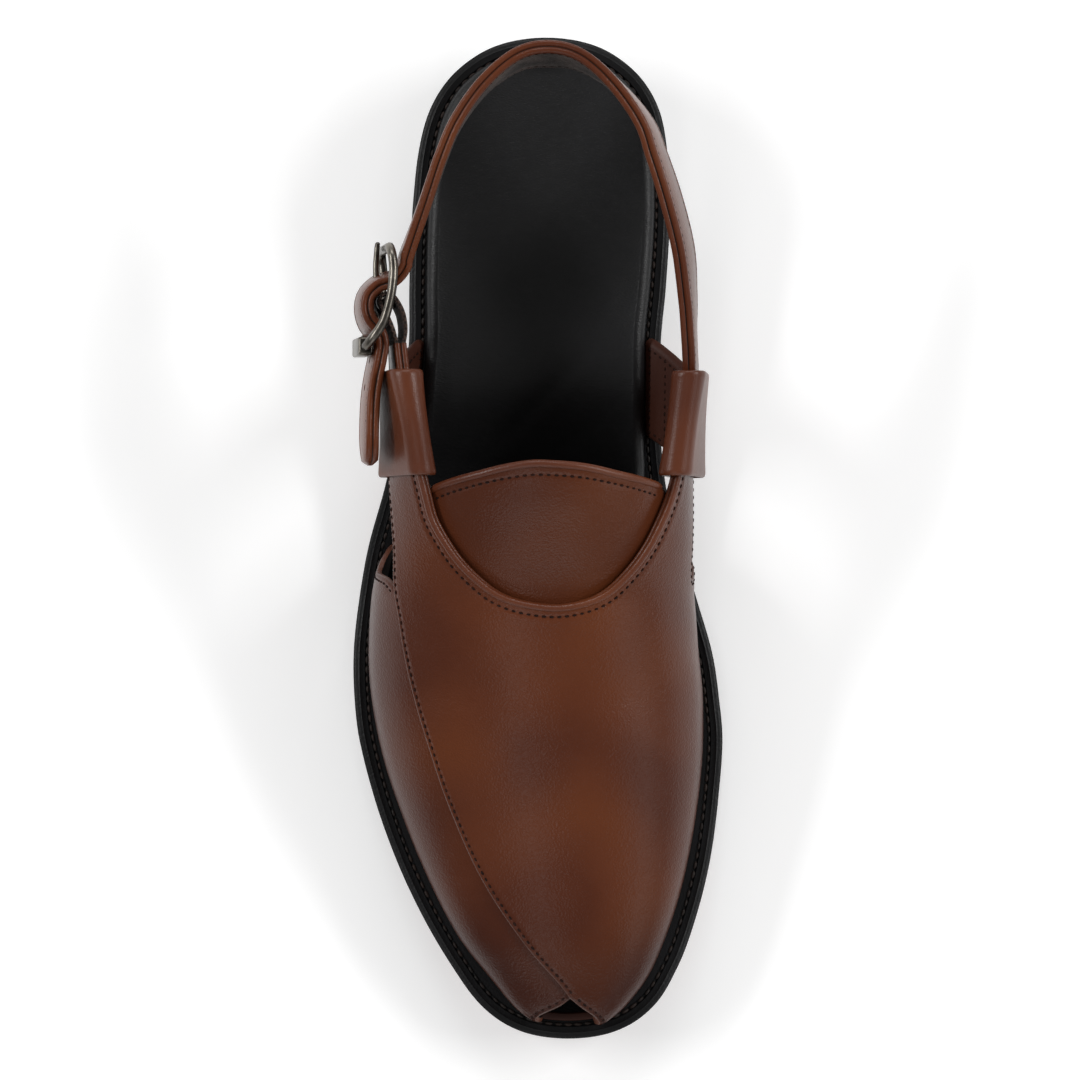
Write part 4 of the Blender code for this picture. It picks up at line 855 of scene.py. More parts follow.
def make_toe_strip():
    """Brown edge of the lasted upper, seen on the welt inside the toe opening."""
    grid = sole_grid(0.0067, lambda s: welt_top(s) + 0.0010)
    line = np.vstack([grid[-12:, 0], grid[-2:-13:-1, -1]])
    line = spaced(line[(line[:, 0] > -0.003) & (line[:, 0] < 0.019)], 0.001)
    section = np.array([(-1, -0.8), (-1, 0.4), (-0.7, 0.75), (0, 0.85), (0.7, 0.75), (1, 0.4), (1, -0.8)]) * 0.0012
    add_piece("toe_strip_leather", *sweep(line, np.array([0, 0, 1.0]), section), FINISHES["keeper_lining"],
              slot="upper_leather")


def heel_grid(inset, height, rear, front, hollow, rows=60):
    """Grid of a heel piece between two lines across the sole, each a pair of shares at its two edges."""
    across = np.linspace(-1, 1, 17)
    part = np.linspace(0, 1, rows + 1)
    sides = []
    for side, column in ((-1, 0), (1, 1)):
        turns = turn_at(rear[column]) + part * (turn_at(front[column]) - turn_at(rear[column]))
        sides.append(sole_edge(turns, side, inset + turns * 0))
    plan = between(sides, across)
    plan[..., 1] += hollow * (1 - across**2) * part[:, None] ** 3
    if rear == (0.0, 0.0):
        plan[0] = plan[0].mean(0)
    return np.dstack([plan, height(share_at(plan[..., 1]))])


def make_heel():
    whole = ((0.0, 0.0), (HEEL_BREAST_SHARE, HEEL_BREAST_SHARE))
    gap = CLEARANCE / SOLE_LENGTH
    lift_rear = (TIP_FRONT[0] + gap, TIP_FRONT[1] + gap)
    top = LIFT_THICKNESS + CLEARANCE
    block = [(HEEL_TAPER + 0.0004, 0.0), (HEEL_TAPER, 0.03), (HEEL_TAPER * 0.5, 0.1)]
    block += [(HEEL_TAPER * (1.25 - 1.2 * abs(level - 0.5) ** 1.5), level) for level in (0.25, 0.4, 0.5, 0.6, 0.75)]
    block += [(HEEL_TAPER, 0.97), (HEEL_TAPER + 0.0004, 1.0)]
    lift = [(HEEL_TAPER + 0.0006, 0.0), (HEEL_TAPER, 0.1), (HEEL_TAPER, 0.9), (HEEL_TAPER + 0.0004, 1.0)]
    sunk = [(HEEL_TAPER + 0.0018, STUD_HEIGHT / LIFT_THICKNESS), (HEEL_TAPER + 0.0017, 0.0), *lift]
    pieces = (
        ("heel_block_leather", "heel_block", *whole, BREAST_HOLLOW, block, "heel_stack", "welt"),
        ("heel_tip_rubber", "heel_tip", (0.0, 0.0), TIP_FRONT, 0.0, sunk, "tread_rubber", "pocket"),
        ("top_lift_leather", "top_lift", lift_rear, whole[1], BREAST_HOLLOW, lift, "sole_leather", "sole"),
    )
    for name, node, rear, front, hollow, steps, slot, finish in pieces:
        def height(share, level):
            if node != "heel_block":
                return level * LIFT_THICKNESS + share * 0
            return top + level * (outsole_bottom(share) - 2 * CLEARANCE - top)

        grids = [heel_grid(inset, lambda s, level=level: height(s, level), rear, front, hollow) for inset,
                 level in steps]
        points, faces = solid_between(grids)
        side = FINISHES["tread" if node == "heel_tip" else "welt"]
        add_piece(name, points, faces, [FINISHES[finish], side], bottom_kinds(faces, grids[0]), (node,), slot)


def pad_middle():
    return np.array([0.02 * BALL_WIDTH, length_at(sum(PAD_SHARES) / 2)])


def pad_grid(inset, level, rows=90):
    turn = np.linspace(0, math.pi, rows + 1)
    middle = pad_middle()
    sides = []
    for side in (-1, 1):
        edge = outline_point(PAD_OUTLINE, turn, side, PAD_SHARES)
        sides.append(edge + unit(middle - edge) * inset)
    plan = between(sides, (-1, 1))
    plan[0], plan[-1] = plan[0].mean(0), plan[-1].mean(0)
    return np.dstack([plan, tread_height(share_at(plan[..., 1])) + level * PAD_THICKNESS])


# Pockets of the tread's fretwork in modules (column, row); bands of three rows alternate by half the repeat
FRET = (
    ((0, 0), (1, 0), (0, 1)), ((4, 0), (5, 0), (5, 1)), ((2, 1), (2, 2), (1, 2)), ((3, 1), (3, 2), (4, 2)),
    ((2, 0),), ((3, 0),), ((1, 1),), ((4, 1),), ((0, 2),), ((5, 2),),
)
FRET_MODULE = 0.00283
FRET_BAR = 0.00105
FRET_DEPTH = 0.0007
FRET_TURN = 0.045
STUD_HEIGHT = 0.0004
STUD_PITCH = 0.0017
STUD_TURN = 0.5


def block_tree():
    """Small bars standing on a mesh's points, sized and turned by the points' own attributes."""
    tree, given = new_tree("tread_bars", (("Rubber", "NodeSocketMaterial", None), ("Draft", "NodeSocketFloat", 0.86)))
    # A cone of four sides with this radius is a bar one unit wide
    unit_radius = 0.7071
    narrow = add_node(tree, "ShaderNodeMath", {0: given["Draft"], 1: unit_radius}, operation="MULTIPLY")
    sizes = {"Vertices": 4, "Radius Top": unit_radius, "Radius Bottom": narrow, "Depth": 1.0}
    bar = add_node(tree, "GeometryNodeMeshCone", sizes, fill_type="NGON")
    square = add_node(tree, "GeometryNodeTransform", {"Geometry": bar, "Rotation": (0.0, 0.0, math.pi / 4)})
    bars = stand(tree, given["Geometry"], square, Scale=named_vector(tree, "size"), Rotation=named_vector(tree, "turn"))
    end_tree(tree, bars, given["Rubber"], smooth=False)
    return tree


def fretwork(inside):
    """Middles and sizes of the bars between neighbouring pockets, and of the corners where bars meet."""
    owner = {}
    for pocket, cells in enumerate(FRET):
        for column, row in cells:
            owner[column, row] = pocket
            owner[(column + 3) % 6, row + 3] = pocket + 100

    def pocket_at(column, row):
        return (owner[column % 6, row % 6], (column - (3 if row % 6 > 2 else 0)) // 6, row // 3)

    count = 26
    places, sizes = [], []
    width, long = FRET_BAR, FRET_MODULE - FRET_BAR
    for row in range(-count, count):
        for column in range(-count, count):
            here = pocket_at(column, row)
            x, y = column * FRET_MODULE, row * FRET_MODULE
            bars = [(x, y, width, width)]
            if here != pocket_at(column, row - 1):
                bars += [(x + width / 2 + long * k, y, long / 2, width) for k in (0.25, 0.75)]
            if here != pocket_at(column - 1, row):
                bars += [(x, y + width / 2 + long * k, width, long / 2) for k in (0.25, 0.75)]
            for a, b, sx, sy in bars:
                places.append((a, b))
                sizes.append((sx, sy))
    places, sizes = np.array(places), np.array(sizes)
    middle = pad_middle()
    places = turned_plan(places, FRET_TURN) + middle
    kept = inside_loop(places, inside)
    return places[kept], sizes[kept]


def make_tread():
    """Moulded forefoot tread: raised fretwork of squares and angles inside a smooth rim."""
    rim = 0.0016
    # Distance in from the pad's outline, and height
    steps = (
        (rim, FRET_DEPTH), (rim, 0.0001), (rim - 0.0002, 0.0), (0.0006, 0.0), (0.0001, 0.0003), (0.0,
                                                                                                 PAD_THICKNESS / 2),
        (0.0, PAD_THICKNESS),
    )
    grids = [pad_grid(inset, height / PAD_THICKNESS) for inset, height in steps]
    points, faces = solid_between(grids)
    kinds = bottom_kinds(faces, grids[0])
    add_piece("tread_pad_rubber", points, faces, [FINISHES["pocket"], FINISHES["tread"]], kinds, ("tread_pad",),
              "tread_rubber")
    edge = pad_grid(0.0010, 0.0)
    loop = np.vstack([edge[:, 0, :2], edge[-2:0:-1, -1, :2]])
    places, sizes = fretwork(loop)
    height = FRET_DEPTH + 0.0002
    floor, slope = height_and_slope(tread_height, places)
    points = np.column_stack([places, floor + height / 2])
    fields = {
        "size": np.column_stack([sizes, np.full(len(sizes), height)]),
        "turn": np.column_stack([np.arctan(slope), slope * 0, slope * 0 + FRET_TURN]),
    }
    inputs = {"Rubber": FINISHES["tread"], "Draft": 1.0}
    grow("tread_fretwork", points, [], block_tree(), inputs, "tread_rubber", fields)


WAVE_PITCH = 0.0056


def wave_line():
    """The carved row's line, inside the sole's edge from one side of the waist round the toe to the other."""
    shares = np.linspace(0.315, 1.0, 200)
    turns = turn_at(shares)
    inset = 0.0062 + 0.0022 * np.clip((0.5 - shares) / 0.2, 0, 1)
    sides = [sole_edge(turns, side, inset) for side in (-1, 1)]
    line = np.vstack([sides[0], sides[1][-2::-1]])
    kept = share_at(line[:, 1]) < 0.972
    return line[kept]


def wave_shape():
    """One carved wave: a fine tail, a slanting stroke that swells, and a curl over the next one."""
    places = [
        (-4.4, -1.9), (-3.2, -1.7), (-2.0, -1.0), (-1.0, 0.2), (-0.2, 1.4), (0.7, 2.2), (1.6, 2.2), (2.0, 1.5),
        (1.6, 1.0), (1.1, 1.3),
    ]
    line = curve_through(places, 3) * MM
    part = np.linspace(0, 1, len(line))
    wide = 0.0002 + 0.00045 * np.sin(math.pi * part) ** 2
    path = np.column_stack([line, part * 0])
    section = np.array([(-1, 0), (-0.5, 0.5), (0.5, 0.5), (1, 0), (0, -0.5)])
    return sweep(path, np.array([0, 0, 1.0]), section * wide[:, None, None] * (1, 0.5))


def make_waves():
    """Running waves on the outsole: a dark inlay that paints the shade of carved grooves, the same one set along a line
    at each step.
    """
    line = spaced(wave_line(), WAVE_PITCH)
    run = unit(np.gradient(line, axis=0))
    tree, given = new_tree("carved_waves", (("Wave", "NodeSocketObject", None), ("Finish", "NodeSocketMaterial", None)))
    wave = add_node(tree, "GeometryNodeObjectInfo", {"Object": given["Wave"]})
    laid = stand(tree, given["Geometry"], wave.outputs["Geometry"], Rotation=named_vector(tree, "turn"))
    end_tree(tree, laid, given["Finish"])
    wave_object = new_object("wave", shape_mesh("wave", *wave_shape()))
    height, slope = height_and_slope(outsole_bottom, line)
    # Turned to the line's own direction, then tilted to the sole's slope along Y
    angle = np.arctan2(run[:, 1], run[:, 0])
    turns = [Euler((0, 0, a)).to_matrix() for a in angle]
    tilts = [Euler((math.atan(rise), 0, 0)).to_matrix() for rise in slope]
    fields = {"turn": np.array([(tilt @ turn).to_euler("XYZ")[:] for tilt, turn in zip(tilts, turns)])}
    places = np.column_stack([line, height])
    inputs = {"Wave": wave_object, "Finish": FINISHES["carving"]}
    grow("carved_waves", places, [], tree, inputs, "sole_leather", fields)
    bpy.data.objects.remove(wave_object)


def make_tip_studs():
    """Fine diamonds moulded on the heel tip: small studs on a slanted grid."""
    grid = heel_grid(HEEL_TAPER + 0.0016, lambda s: s * 0, (0.0, 0.0), TIP_FRONT, 0.0)
    loop = np.vstack([grid[:, 0, :2], grid[-1, 1:-1, :2], grid[::-1, -1, :2]])
    step = STUD_PITCH
    x, y = np.meshgrid(np.arange(-32, 33) * step, np.arange(-40, 41) * step * 0.75)
    x[1::2] += step / 2
    places = np.stack([x.ravel(), y.ravel()], -1)
    places = turned_plan(places, STUD_TURN)
    places = places[inside_loop(places, loop)]
    high = STUD_HEIGHT + 0.0001
    size = np.full((len(places), 3), (step * 0.72, step * 0.62, high))
    turn = np.full((len(places), 3), (0.0, 0.0, STUD_TURN + math.pi / 4))
    points = np.column_stack([places, np.full(len(places), high / 2)])
    tree = bpy.data.node_groups["tread_bars"]
    fields = {"size": size, "turn": turn}
    grow("heel_tip_studs", points, [], tree, {"Rubber": FINISHES["tread"], "Draft": 0.6}, "tread_rubber", fields)


def make_footbed():
    """Padded footbed: rounded raised edge, dished along the middle, with soft wrinkles where the foot bends."""
    across = np.sin(np.linspace(-1, 1, 61) * math.pi / 2)

    def height(level):
        return lambda share: welt_top(share) + CLEARANCE + level * INSOLE_EDGE

    edge = [(0.0012, 0.0), (0.0004, 0.08), (0.0, 0.2), (0.0, 0.3)]
    turns = np.radians((15, 30, 42, 54, 65, 75, 84))
    edge += [(INSOLE_BANK * (1 - math.cos(turn)), 0.3 + 0.7 * math.sin(turn)) for turn in turns]
    grids = [sole_grid(inset, height(level), across, INSOLE_MARGIN) for inset, level in edge]
    crown = sole_grid(INSOLE_BANK, height(1.0), across, INSOLE_MARGIN)
    bank = abs(across)
    dish = INSOLE_DISH * np.clip(np.cos(bank * math.pi / 2), 0, 1) ** 0.8
    crown[..., 2] -= dish
    # Soft wrinkles across the waist: place, width and depth in millimetres, and slant
    for x, y, wide, deep, slant in (
        (-12, -62, 26, 0.35, 0.9), (-4, -70, 30, 0.4, 0.8), (6, -60, 24, 0.25, 0.85), (-20, -52, 18, 0.25, 1.0),
        (12, -76, 22, 0.3, 0.7), (-14, -80, 24, 0.3, 0.8), (18, -40, 16, 0.2, 1.1), (-24, -30, 14, 0.2, 1.0),
    ):
        dx, dy = crown[..., 0] / MM - x, crown[..., 1] / MM - y
        along, off = dx * math.cos(slant) + dy * math.sin(slant), dy * math.cos(slant) - dx * math.sin(slant)
        dent = deep * MM * np.exp(-((off / 1.6) ** 2)) * np.exp(-((along / (wide / 2)) ** 2))
        crown[..., 2] -= dent * np.clip(1.2 - bank, 0, 1)
    grids.append(crown)
    footbed = add_piece("footbed_padded_leather", *solid_between(grids), FINISHES["footbed"],
                        replaced=("insole",), slot="footbed_leather")


# Upper


def inside_loop(points, loop):
    """Which points lie inside a closed flat loop."""
    a, b = loop, np.roll(loop, -1, 0)
    x, y = points[:, :1], points[:, 1:]
    crosses = (a[:, 1] > y) != (b[:, 1] > y)
    rise = np.where(b[:, 1] == a[:, 1], 1e-12, b[:, 1] - a[:, 1])
    left = x < a[:, 0] + (b[:, 0] - a[:, 0]) * (y - a[:, 1]) / rise
    return (crosses & left).sum(1) % 2 == 1


def nearest(points, places):
    """Distance from each point to the nearest of the places."""
    tree = KDTree(len(places))
    for k, place in enumerate(places):
        tree.insert((*place, 0.0)[:3], k)
    tree.balance()
    return np.array([tree.find((*point, 0.0)[:3])[2] for point in points])


def panel_mesh(loops, rows):
    """Triangles of flat panels that share edges, with extra rows of points beside them."""
    points, edges, places = [], [], {}
    for loop in loops:
        indices = []
        for place in loop:
            key = (round(place[0], 7), round(place[1], 7))
            if key not in places:
                places[key] = len(points)
                points.append(place)
            indices.append(places[key])
        edges += list(zip(indices, indices[1:] + indices[:1]))
    rim = np.array(points)
    inner = np.concatenate(rows)
    inner = inner[np.unique(np.round(inner / 0.00035).astype(int), axis=0, return_index=True)[1]]
    inner = inner[np.any([inside_loop(inner, loop) for loop in loops], axis=0) & (nearest(inner, rim) > 0.0003)]
    x, y = np.meshgrid(
        np.arange(-1.3 * PATTERN_SCALE, 1.3 * PATTERN_SCALE, PATTERN_STEP),
        np.arange(0.36 * SOLE_LENGTH, SOLE_LENGTH, PATTERN_STEP * 0.8),
    )
    x[1::2] += PATTERN_STEP / 2
    field = np.stack([x.ravel(), y.ravel()], -1)
    field = field[np.any([inside_loop(field, loop) for loop in loops], axis=0)]
    field = field[nearest(field, np.vstack([rim, inner])) > PATTERN_STEP * 0.6]
    everything = [tuple(p) for p in np.vstack([rim, inner, field])]
    flat, _, triangles, *_ = delaunay_2d_cdt(everything, edges, [], 0, 1e-7)
    flat, triangles = np.array([tuple(p) for p in flat]), np.array([tuple(t) for t in triangles])
    middles = flat[triangles].mean(1)
    return flat, [triangles[inside_loop(middles, loop)] for loop in loops]


def stepped_shell(flat, main, side, inner, main_outer, side_outer):
    """Closed wall over one or two panels whose outer faces differ in height, with a kind for each face."""
    points, faces, kinds = [], [], []

    def level(triangles, offset):
        used = np.unique(triangles)
        ids = np.full(len(flat), -1)
        ids[used] = sum(len(p) for p in points) + np.arange(len(used))
        points.append(last_offset(flat[used], offset[used]))
        return ids

    both = np.vstack([main, side]) if len(side) else main
    inner_ids = level(both, inner)
    main_ids = level(main, main_outer)
    side_ids = level(side, side_outer) if len(side) else inner_ids
    for found, kind in ((inner_ids[both][:, ::-1], 1), (main_ids[main], 0), (side_ids[side] if len(side) else [], 0)):
        faces += [tuple(face) for face in found]
        kinds += [kind] * len(found)
    in_main = {(int(f[k - 1]), int(f[k])) for f in main for k in range(3)}
    in_side = {(int(f[k - 1]), int(f[k])) for f in side for k in range(3)}
    walls = []
    seam_points = {i for a, b in in_main if (b, a) in in_side for i in (a, b)}
    for a, b in sorted(in_main):
        if (b, a) in in_side:
            walls.append((side_ids[a], side_ids[b], main_ids[b], main_ids[a]))
        elif (b, a) not in in_main:
            wall = [inner_ids[a], inner_ids[b]] + ([side_ids[b]] if b in seam_points else [])
            walls.append((*wall, main_ids[b], main_ids[a], *([side_ids[a]] if a in seam_points else [])))
    walls += [
        (inner_ids[a], inner_ids[b], side_ids[b], side_ids[a])
        for a, b in sorted(in_side)
        if (b, a) not in in_side and (b, a) not in in_main
    ]
    used = [np.unique(both), np.unique(main)] + ([np.unique(side)] if len(side) else [])
    return np.concatenate(points), faces + walls, kinds + [2] * len(walls), np.concatenate(used)


def leather_offset(flat, edges, rows, base):
    """Offset of a panel's face: rounded at its cut edges and drawn in under its stitches."""
    places = last_offset(flat)
    edge = nearest(places, np.concatenate([last_offset(line) for line in edges])) / MM
    row = nearest(places, np.concatenate([last_offset(line) for line in rows])) / MM
    rounded = -0.45 * np.clip(1 - edge / 0.9, 0, 1) ** 2
    drawn = -0.18 * np.exp(-((row / 0.45) ** 2)) + 0.08 * np.exp(-(((row - 1.3) / 0.6) ** 2))
    return base + MM * (rounded + drawn), edge


# Creases of the vamp: place as (around, share), length, width and depth in millimetres, and turn in radians
CREASES = (
    (-0.30, 0.640, 34, 6.0, 0.16, 1.9), (0.25, 0.650, 38, 6.5, 0.18, 1.3), (0.55, 0.665, 30, 6.0, 0.16, 1.1),
    (-0.15, 0.690, 34, 6.5, -0.12, 1.8), (0.35, 0.700, 34, 6.5, -0.14, 1.25), (0.30, 0.905, 18, 4.0, 0.18, 1.0),
    (0.15, 0.885, 16, 3.6, 0.12, 0.9), (-0.60, 0.700, 30, 6.0, 0.14, 2.2), (0.80, 0.600, 26, 6.0, 0.16, 0.7),
    (-0.45, 0.885, 18, 4.0, 0.14, 2.2),
)


def creases(flat):
    """Soft troughs and ridges of the worn-in vamp, in metres."""
    total = np.zeros(len(flat))
    for around, share, length, wide, deep, turn in CREASES:
        dx = (flat[:, 0] - around * PATTERN_SCALE) / MM
        dy = (flat[:, 1] - share * SOLE_LENGTH) / MM
        along = dx * math.sin(turn) + dy * math.cos(turn)
        off = dy * math.sin(turn) - dx * math.cos(turn) + along**2 / 90
        total -= deep * MM * np.exp(-((off / wide) ** 2) - (along / (length / 2)) ** 2)
    return total


def feather_line(side, rear_share, front_share):
    """The lasted edge at the welt, in the flat pattern."""
    shares = spaced(np.array([[rear_share], [front_share]]) * SOLE_LENGTH, 0.002)[:, 0]
    return np.stack([np.full(len(shares), side * FEATHER * PATTERN_SCALE), shares], -1)


def two_ply_edge(line, outer, inner, radius):
    """Rolled edge of two plies along a line: an outer and an inner thread of leather."""
    shells = []
    for offset, size in ((outer, radius), (inner, radius * 0.68)):
        path = last_offset(line, offset)
        normal = last_normal(line[:, 0] / PATTERN_SCALE, line[:, 1] / SOLE_LENGTH)
        shells.append(sweep(path, normal, round_ends(ring(size, 14), len(path))))
    return joined(*shells)


def make_upper(sizes):
    step = 0.0012
    throat, leg, medial = (edge_line(rows, step) for rows in (THROAT, LATERAL_LEG_EDGE, MEDIAL_LEG_EDGE))
    seam, medial_toe, lateral_toe = (edge_line(rows, step) for rows in (SEAM, MEDIAL_TOE_EDGE, LATERAL_TOE_EDGE))
    rear = edge_line(LATERAL_REAR_EDGE, step)
    medial_feather = feather_line(1, MEDIAL_LEG_EDGE[-1][1], MEDIAL_TOE_EDGE[-1][1])
    lateral_feather = feather_line(-1, LATERAL_REAR_EDGE[-1][1], LATERAL_TOE_EDGE[-1][1])
    main = np.vstack([throat, medial, medial_feather[1:-1], medial_toe[::-1], seam[-2::-1], leg[-2::-1]])
    side = np.vstack([seam, lateral_toe[1:], lateral_feather[-2:0:-1], rear[:0:-1]])
    outer_edge = np.vstack([leg, seam[1:]])
    # Rows of stitches: a line, its distance in from the edge, and which side of the line the leather lies
    rows = {
        "throat": inset_line(throat[3:-3], 0.00255),
        "leg_and_seam": inset_line(outer_edge[3:-3], -0.00135),
        "medial_leg": inset_line(medial[3:-2], 0.0013),
        "medial_toe": inset_line(medial_toe[3:-2], -0.0014),
        "lateral_toe": inset_line(lateral_toe[3:-2], 0.0014),
        "wing": inset_line(rear[3:-2], -0.0018),
    }
    # Extra rows of points beside each edge, in millimetres, which carry its rounding and the dent of its stitches
    beside = (
        (throat, 1, (0.6, 1.2, 1.8, 2.2, 2.55, 2.9, 3.4, 4.0, 4.8)),
        (outer_edge, -1, (0.4, 0.8, 1.1, 1.35, 1.6, 2.0, 2.6, 3.4)),
        (seam, 1, (0.4, 0.9, 1.6, 2.6)),
        (medial, 1, (0.4, 0.8, 1.1, 1.35, 1.6, 2.0, 2.6)),
        (medial_toe, -1, (0.4, 0.8, 1.4, 2.0, 2.6)),
        (lateral_toe, 1, (0.4, 0.8, 1.4, 2.0, 2.6)),
        (rear, -1, (0.4, 0.9, 1.4, 1.8, 2.2, 2.8)),
    )
    beside = [inset_line(line, way * d * MM) for line, way, distances in beside for d in distances]
    flat, (main_faces, side_faces) = panel_mesh([main, side], beside)
    crease = creases(flat)
    side_rows = ("lateral_toe", "wing")
    main_sewn = [line for name, line in rows.items() if name not in side_rows]
    main_outer, main_edge = leather_offset(flat, [outer_edge, medial, medial_toe], main_sewn, 0.0)
    side_outer, side_edge = leather_offset(flat, [lateral_toe, rear], [rows[name] for name in side_rows], -SEAM_STEP)
    inner = np.full(len(flat), -UPPER_WALL)
    points, faces, kinds, ids = stepped_shell(
        flat, main_faces, side_faces, inner, main_outer + crease, side_outer + crease
    )
    in_main = np.zeros(len(flat), bool)
    in_main[np.unique(main_faces)] = True
    edge = np.where(in_main, main_edge, side_edge)[ids]
    # Darker towards the welt and the toe, and a little darker on the side panel beyond the seam
    reach, share = abs(flat[:, 0]) / PATTERN_SCALE, flat[:, 1] / SOLE_LENGTH
    burnish = 0.6 * np.clip((reach - 0.3) / 0.7, 0, 1) + 0.8 * np.clip((share - 0.84) / 0.12, 0, 1)
    burnish = (np.clip(burnish + np.where(in_main, 0, 0.1), 0, 0.9))[ids]
    finishes = [FINISHES["upper"], FINISHES["lining"], FINISHES["edge"]]
    fields = {"edge": edge, "burnish": burnish}
    add_piece("upper_leather", points, faces, finishes, kinds, ("upper",), "upper_leather", fields, flat[ids], sharp=50)
    binding = two_ply_edge(spaced(throat, 0.0008), -0.0005, -0.0021, 0.00105)
    add_piece("throat_binding", *binding, FINISHES["bead"], slot="upper_leather")
    sunk = {name: -0.0001 - (SEAM_STEP if name in side_rows else 0) for name in rows}
    lines = [last_offset(line, sunk[name]) for name, line in rows.items()]
    sew_leather("upper_stitches", lines, sizes)


def make_tongue(sizes):
    """Crescent panel under the throat, with a turned edge along its crown."""
    crown, skirt = edge_line(TONGUE_CROWN, 0.0012), edge_line(TONGUE_SKIRT, 0.0015)
    loop = np.vstack([crown, skirt[1:-1]])
    row = inset_line(crown[2:-2], 0.0030)
    beside = [inset_line(crown, d * MM) for d in (0.5, 1.0, 1.6, 2.2, 2.6, 3.0, 3.4, 3.9, 4.6)]
    flat, (faces,) = panel_mesh([loop], beside)
    outside = -UPPER_WALL - 1.5 * CLEARANCE
    outer, edge = leather_offset(flat, [skirt], [row], outside)
    inner = np.full(len(flat), outside - TONGUE_WALL)
    points, faces, kinds, ids = stepped_shell(flat, faces, [], inner, outer, None)
    finishes = [FINISHES["strap"], FINISHES["lining"], FINISHES["strap"]]
    add_piece("tongue_leather", points, faces, finishes, kinds, ("tongue",), "upper_leather",
              {"burnish": np.full(len(points), 0.15)}, flat[ids], sharp=60)
    roll = sweep(
        last_offset(crown, outside - 0.0004),
        last_normal(crown[:, 0] / PATTERN_SCALE, crown[:, 1] / SOLE_LENGTH),
        round_ends(ring(0.0011, 16), len(crown)),
    )
    add_piece("tongue_rolled_edge", *roll, FINISHES["bead"], slot="upper_leather")
    sew_leather("tongue_stitches", [last_offset(row, outside - 0.00012)], sizes)


# Straps and keepers


def strap_place(row):
    """A strap row's middle point, with its lean in radians as the fourth value."""
    across, share, rise, lean = row
    height = welt_top(share) + WIDEST_HEIGHT * STRAP_LEVEL + INSTEP_RISE * rise
    return np.array([BALL_WIDTH * across, length_at(share), height, math.radians(lean)])


def buckle_point(out, aft, up=0.0):
    """Points given in millimetres from the middle of the buckle's centre bar, up along the leaning bar."""
    out, aft, up = np.broadcast_arrays(*(np.asarray(v, float) for v in (out, aft, up)))
    places = np.stack([up * math.sin(FRAME_LEAN) - out, aft, up * math.cos(FRAME_LEAN)], -1)
    return strap_place(BUCKLE_PLACE)[:3] + places * MM


def buckle_station(row):
    return np.array([*buckle_point(*row[:3]), math.radians(row[3])])


def band_axes(path, upright=None):
    """Upward and outward directions of a band along its path of points with a lean."""
    run = unit(np.gradient(path[:, :3], axis=0))
    level = unit(np.stack([run[:, 1], -run[:, 0], run[:, 0] * 0], -1))
    lean = path[:, 3:]
    if upright is None:
        up = level * -np.sin(lean) + np.array([0, 0, 1]) * np.cos(lean)
    else:
        up = np.broadcast_to(upright, run.shape)
    up = unit(up - run * np.sum(run * up, 1, keepdims=True))
    return up, np.cross(run, up)


def edge_arc(centre, radius, first, last, steps):
    """Points of a section's arc, angles in degrees from the outward direction."""
    turn = np.radians(np.linspace(first, last, steps))
    return [(centre[0] + radius * math.cos(t), centre[1] + radius * math.sin(t)) for t in turn]


def layered_section(thickness, width, seam, groove):
    """Two leathers laid together: rounded edges with a groove between them, both faces drawn in under the seam.

    Returns the section and the kind of each of its sides: 0 face, 1 lining, 2 edge and 3 glue line, whose dark finish
    is also painted shade in the groove.
    """
    r = thickness / 4
    y = width / 2 - r
    dents = [(-seam - 0.0008, 0), (-seam - 0.0003, 0.7), (-seam, 1), (-seam + 0.0003, 0.7), (-seam + 0.0008, 0)]
    dents += [(0, -0.6)] + [(-place, deep) for place, deep in dents[::-1]]
    face = [(2 * r - deep * groove, place) for place, deep in dents]
    top = edge_arc((r, y), r, 0, 165, 7)[1:] + edge_arc((-r, y), r, 15, 180, 7)
    bottom = edge_arc((-r, -y), r, 180, 345, 7)[1:] + edge_arc((r, -y), r, 195, 360, 7)
    back = [(-x, -place) for x, place in face]
    section = face + top + back + bottom
    # The two sides deep in the groove between the rounded edges are kind 3: the dark glue line, painted as the groove's
    # shade
    rim = [2] * 6 + [3] * 2 + [2] * 6
    kinds = [0] * (len(face) - 1) + rim + [1] * (len(back) - 1) + rim
    return np.array(section), kinds


def strip(path, section, kinds, upright=None, tips=(0, 0)):
    """A band along a path: points, faces, kinds and its own map; tips are the lengths of its rounded ends."""
    up, _ = band_axes(path, upright)
    run = np.concatenate([[0], np.cumsum(np.linalg.norm(np.diff(path[:, :3], axis=0), axis=1))])
    scale = np.ones((len(path), 2))
    for tip, reach in ((tips[0], run), (tips[1], run[-1] - run)):
        if tip:
            near = np.clip(reach / tip, 0, 1)
            scale[:, 1] *= np.sqrt(np.clip(1 - (1 - near) ** 2, 0.03, 1))
            scale[:, 0] *= np.clip(0.3 + reach / 0.0012, 0.3, 1)
    shape = section[None] * scale[:, None]
    points, faces = sweep(path[:, :3], up, shape)
    rim = np.concatenate([[0], np.cumsum(np.linalg.norm(np.diff(section, axis=0), axis=1))])
    uv = np.stack(np.meshgrid(run, rim, indexing="ij"), -1).reshape(-1, 2)
    return points, faces, kinds * (len(path) - 1) + [2, 2], uv


def band_rows(path, thickness, width, sizes, kept):
    """Lines of the stitches along both edges of a band, on its two faces."""
    up, outward = band_axes(path)
    margin = width / 2 - sizes.strap_margin
    return [
        (path[:, :3] + outward * face * (thickness / 2 - 0.0003) + up * place)[kept]
        for face in (1, -1)
        for place in (margin, -margin)
    ]


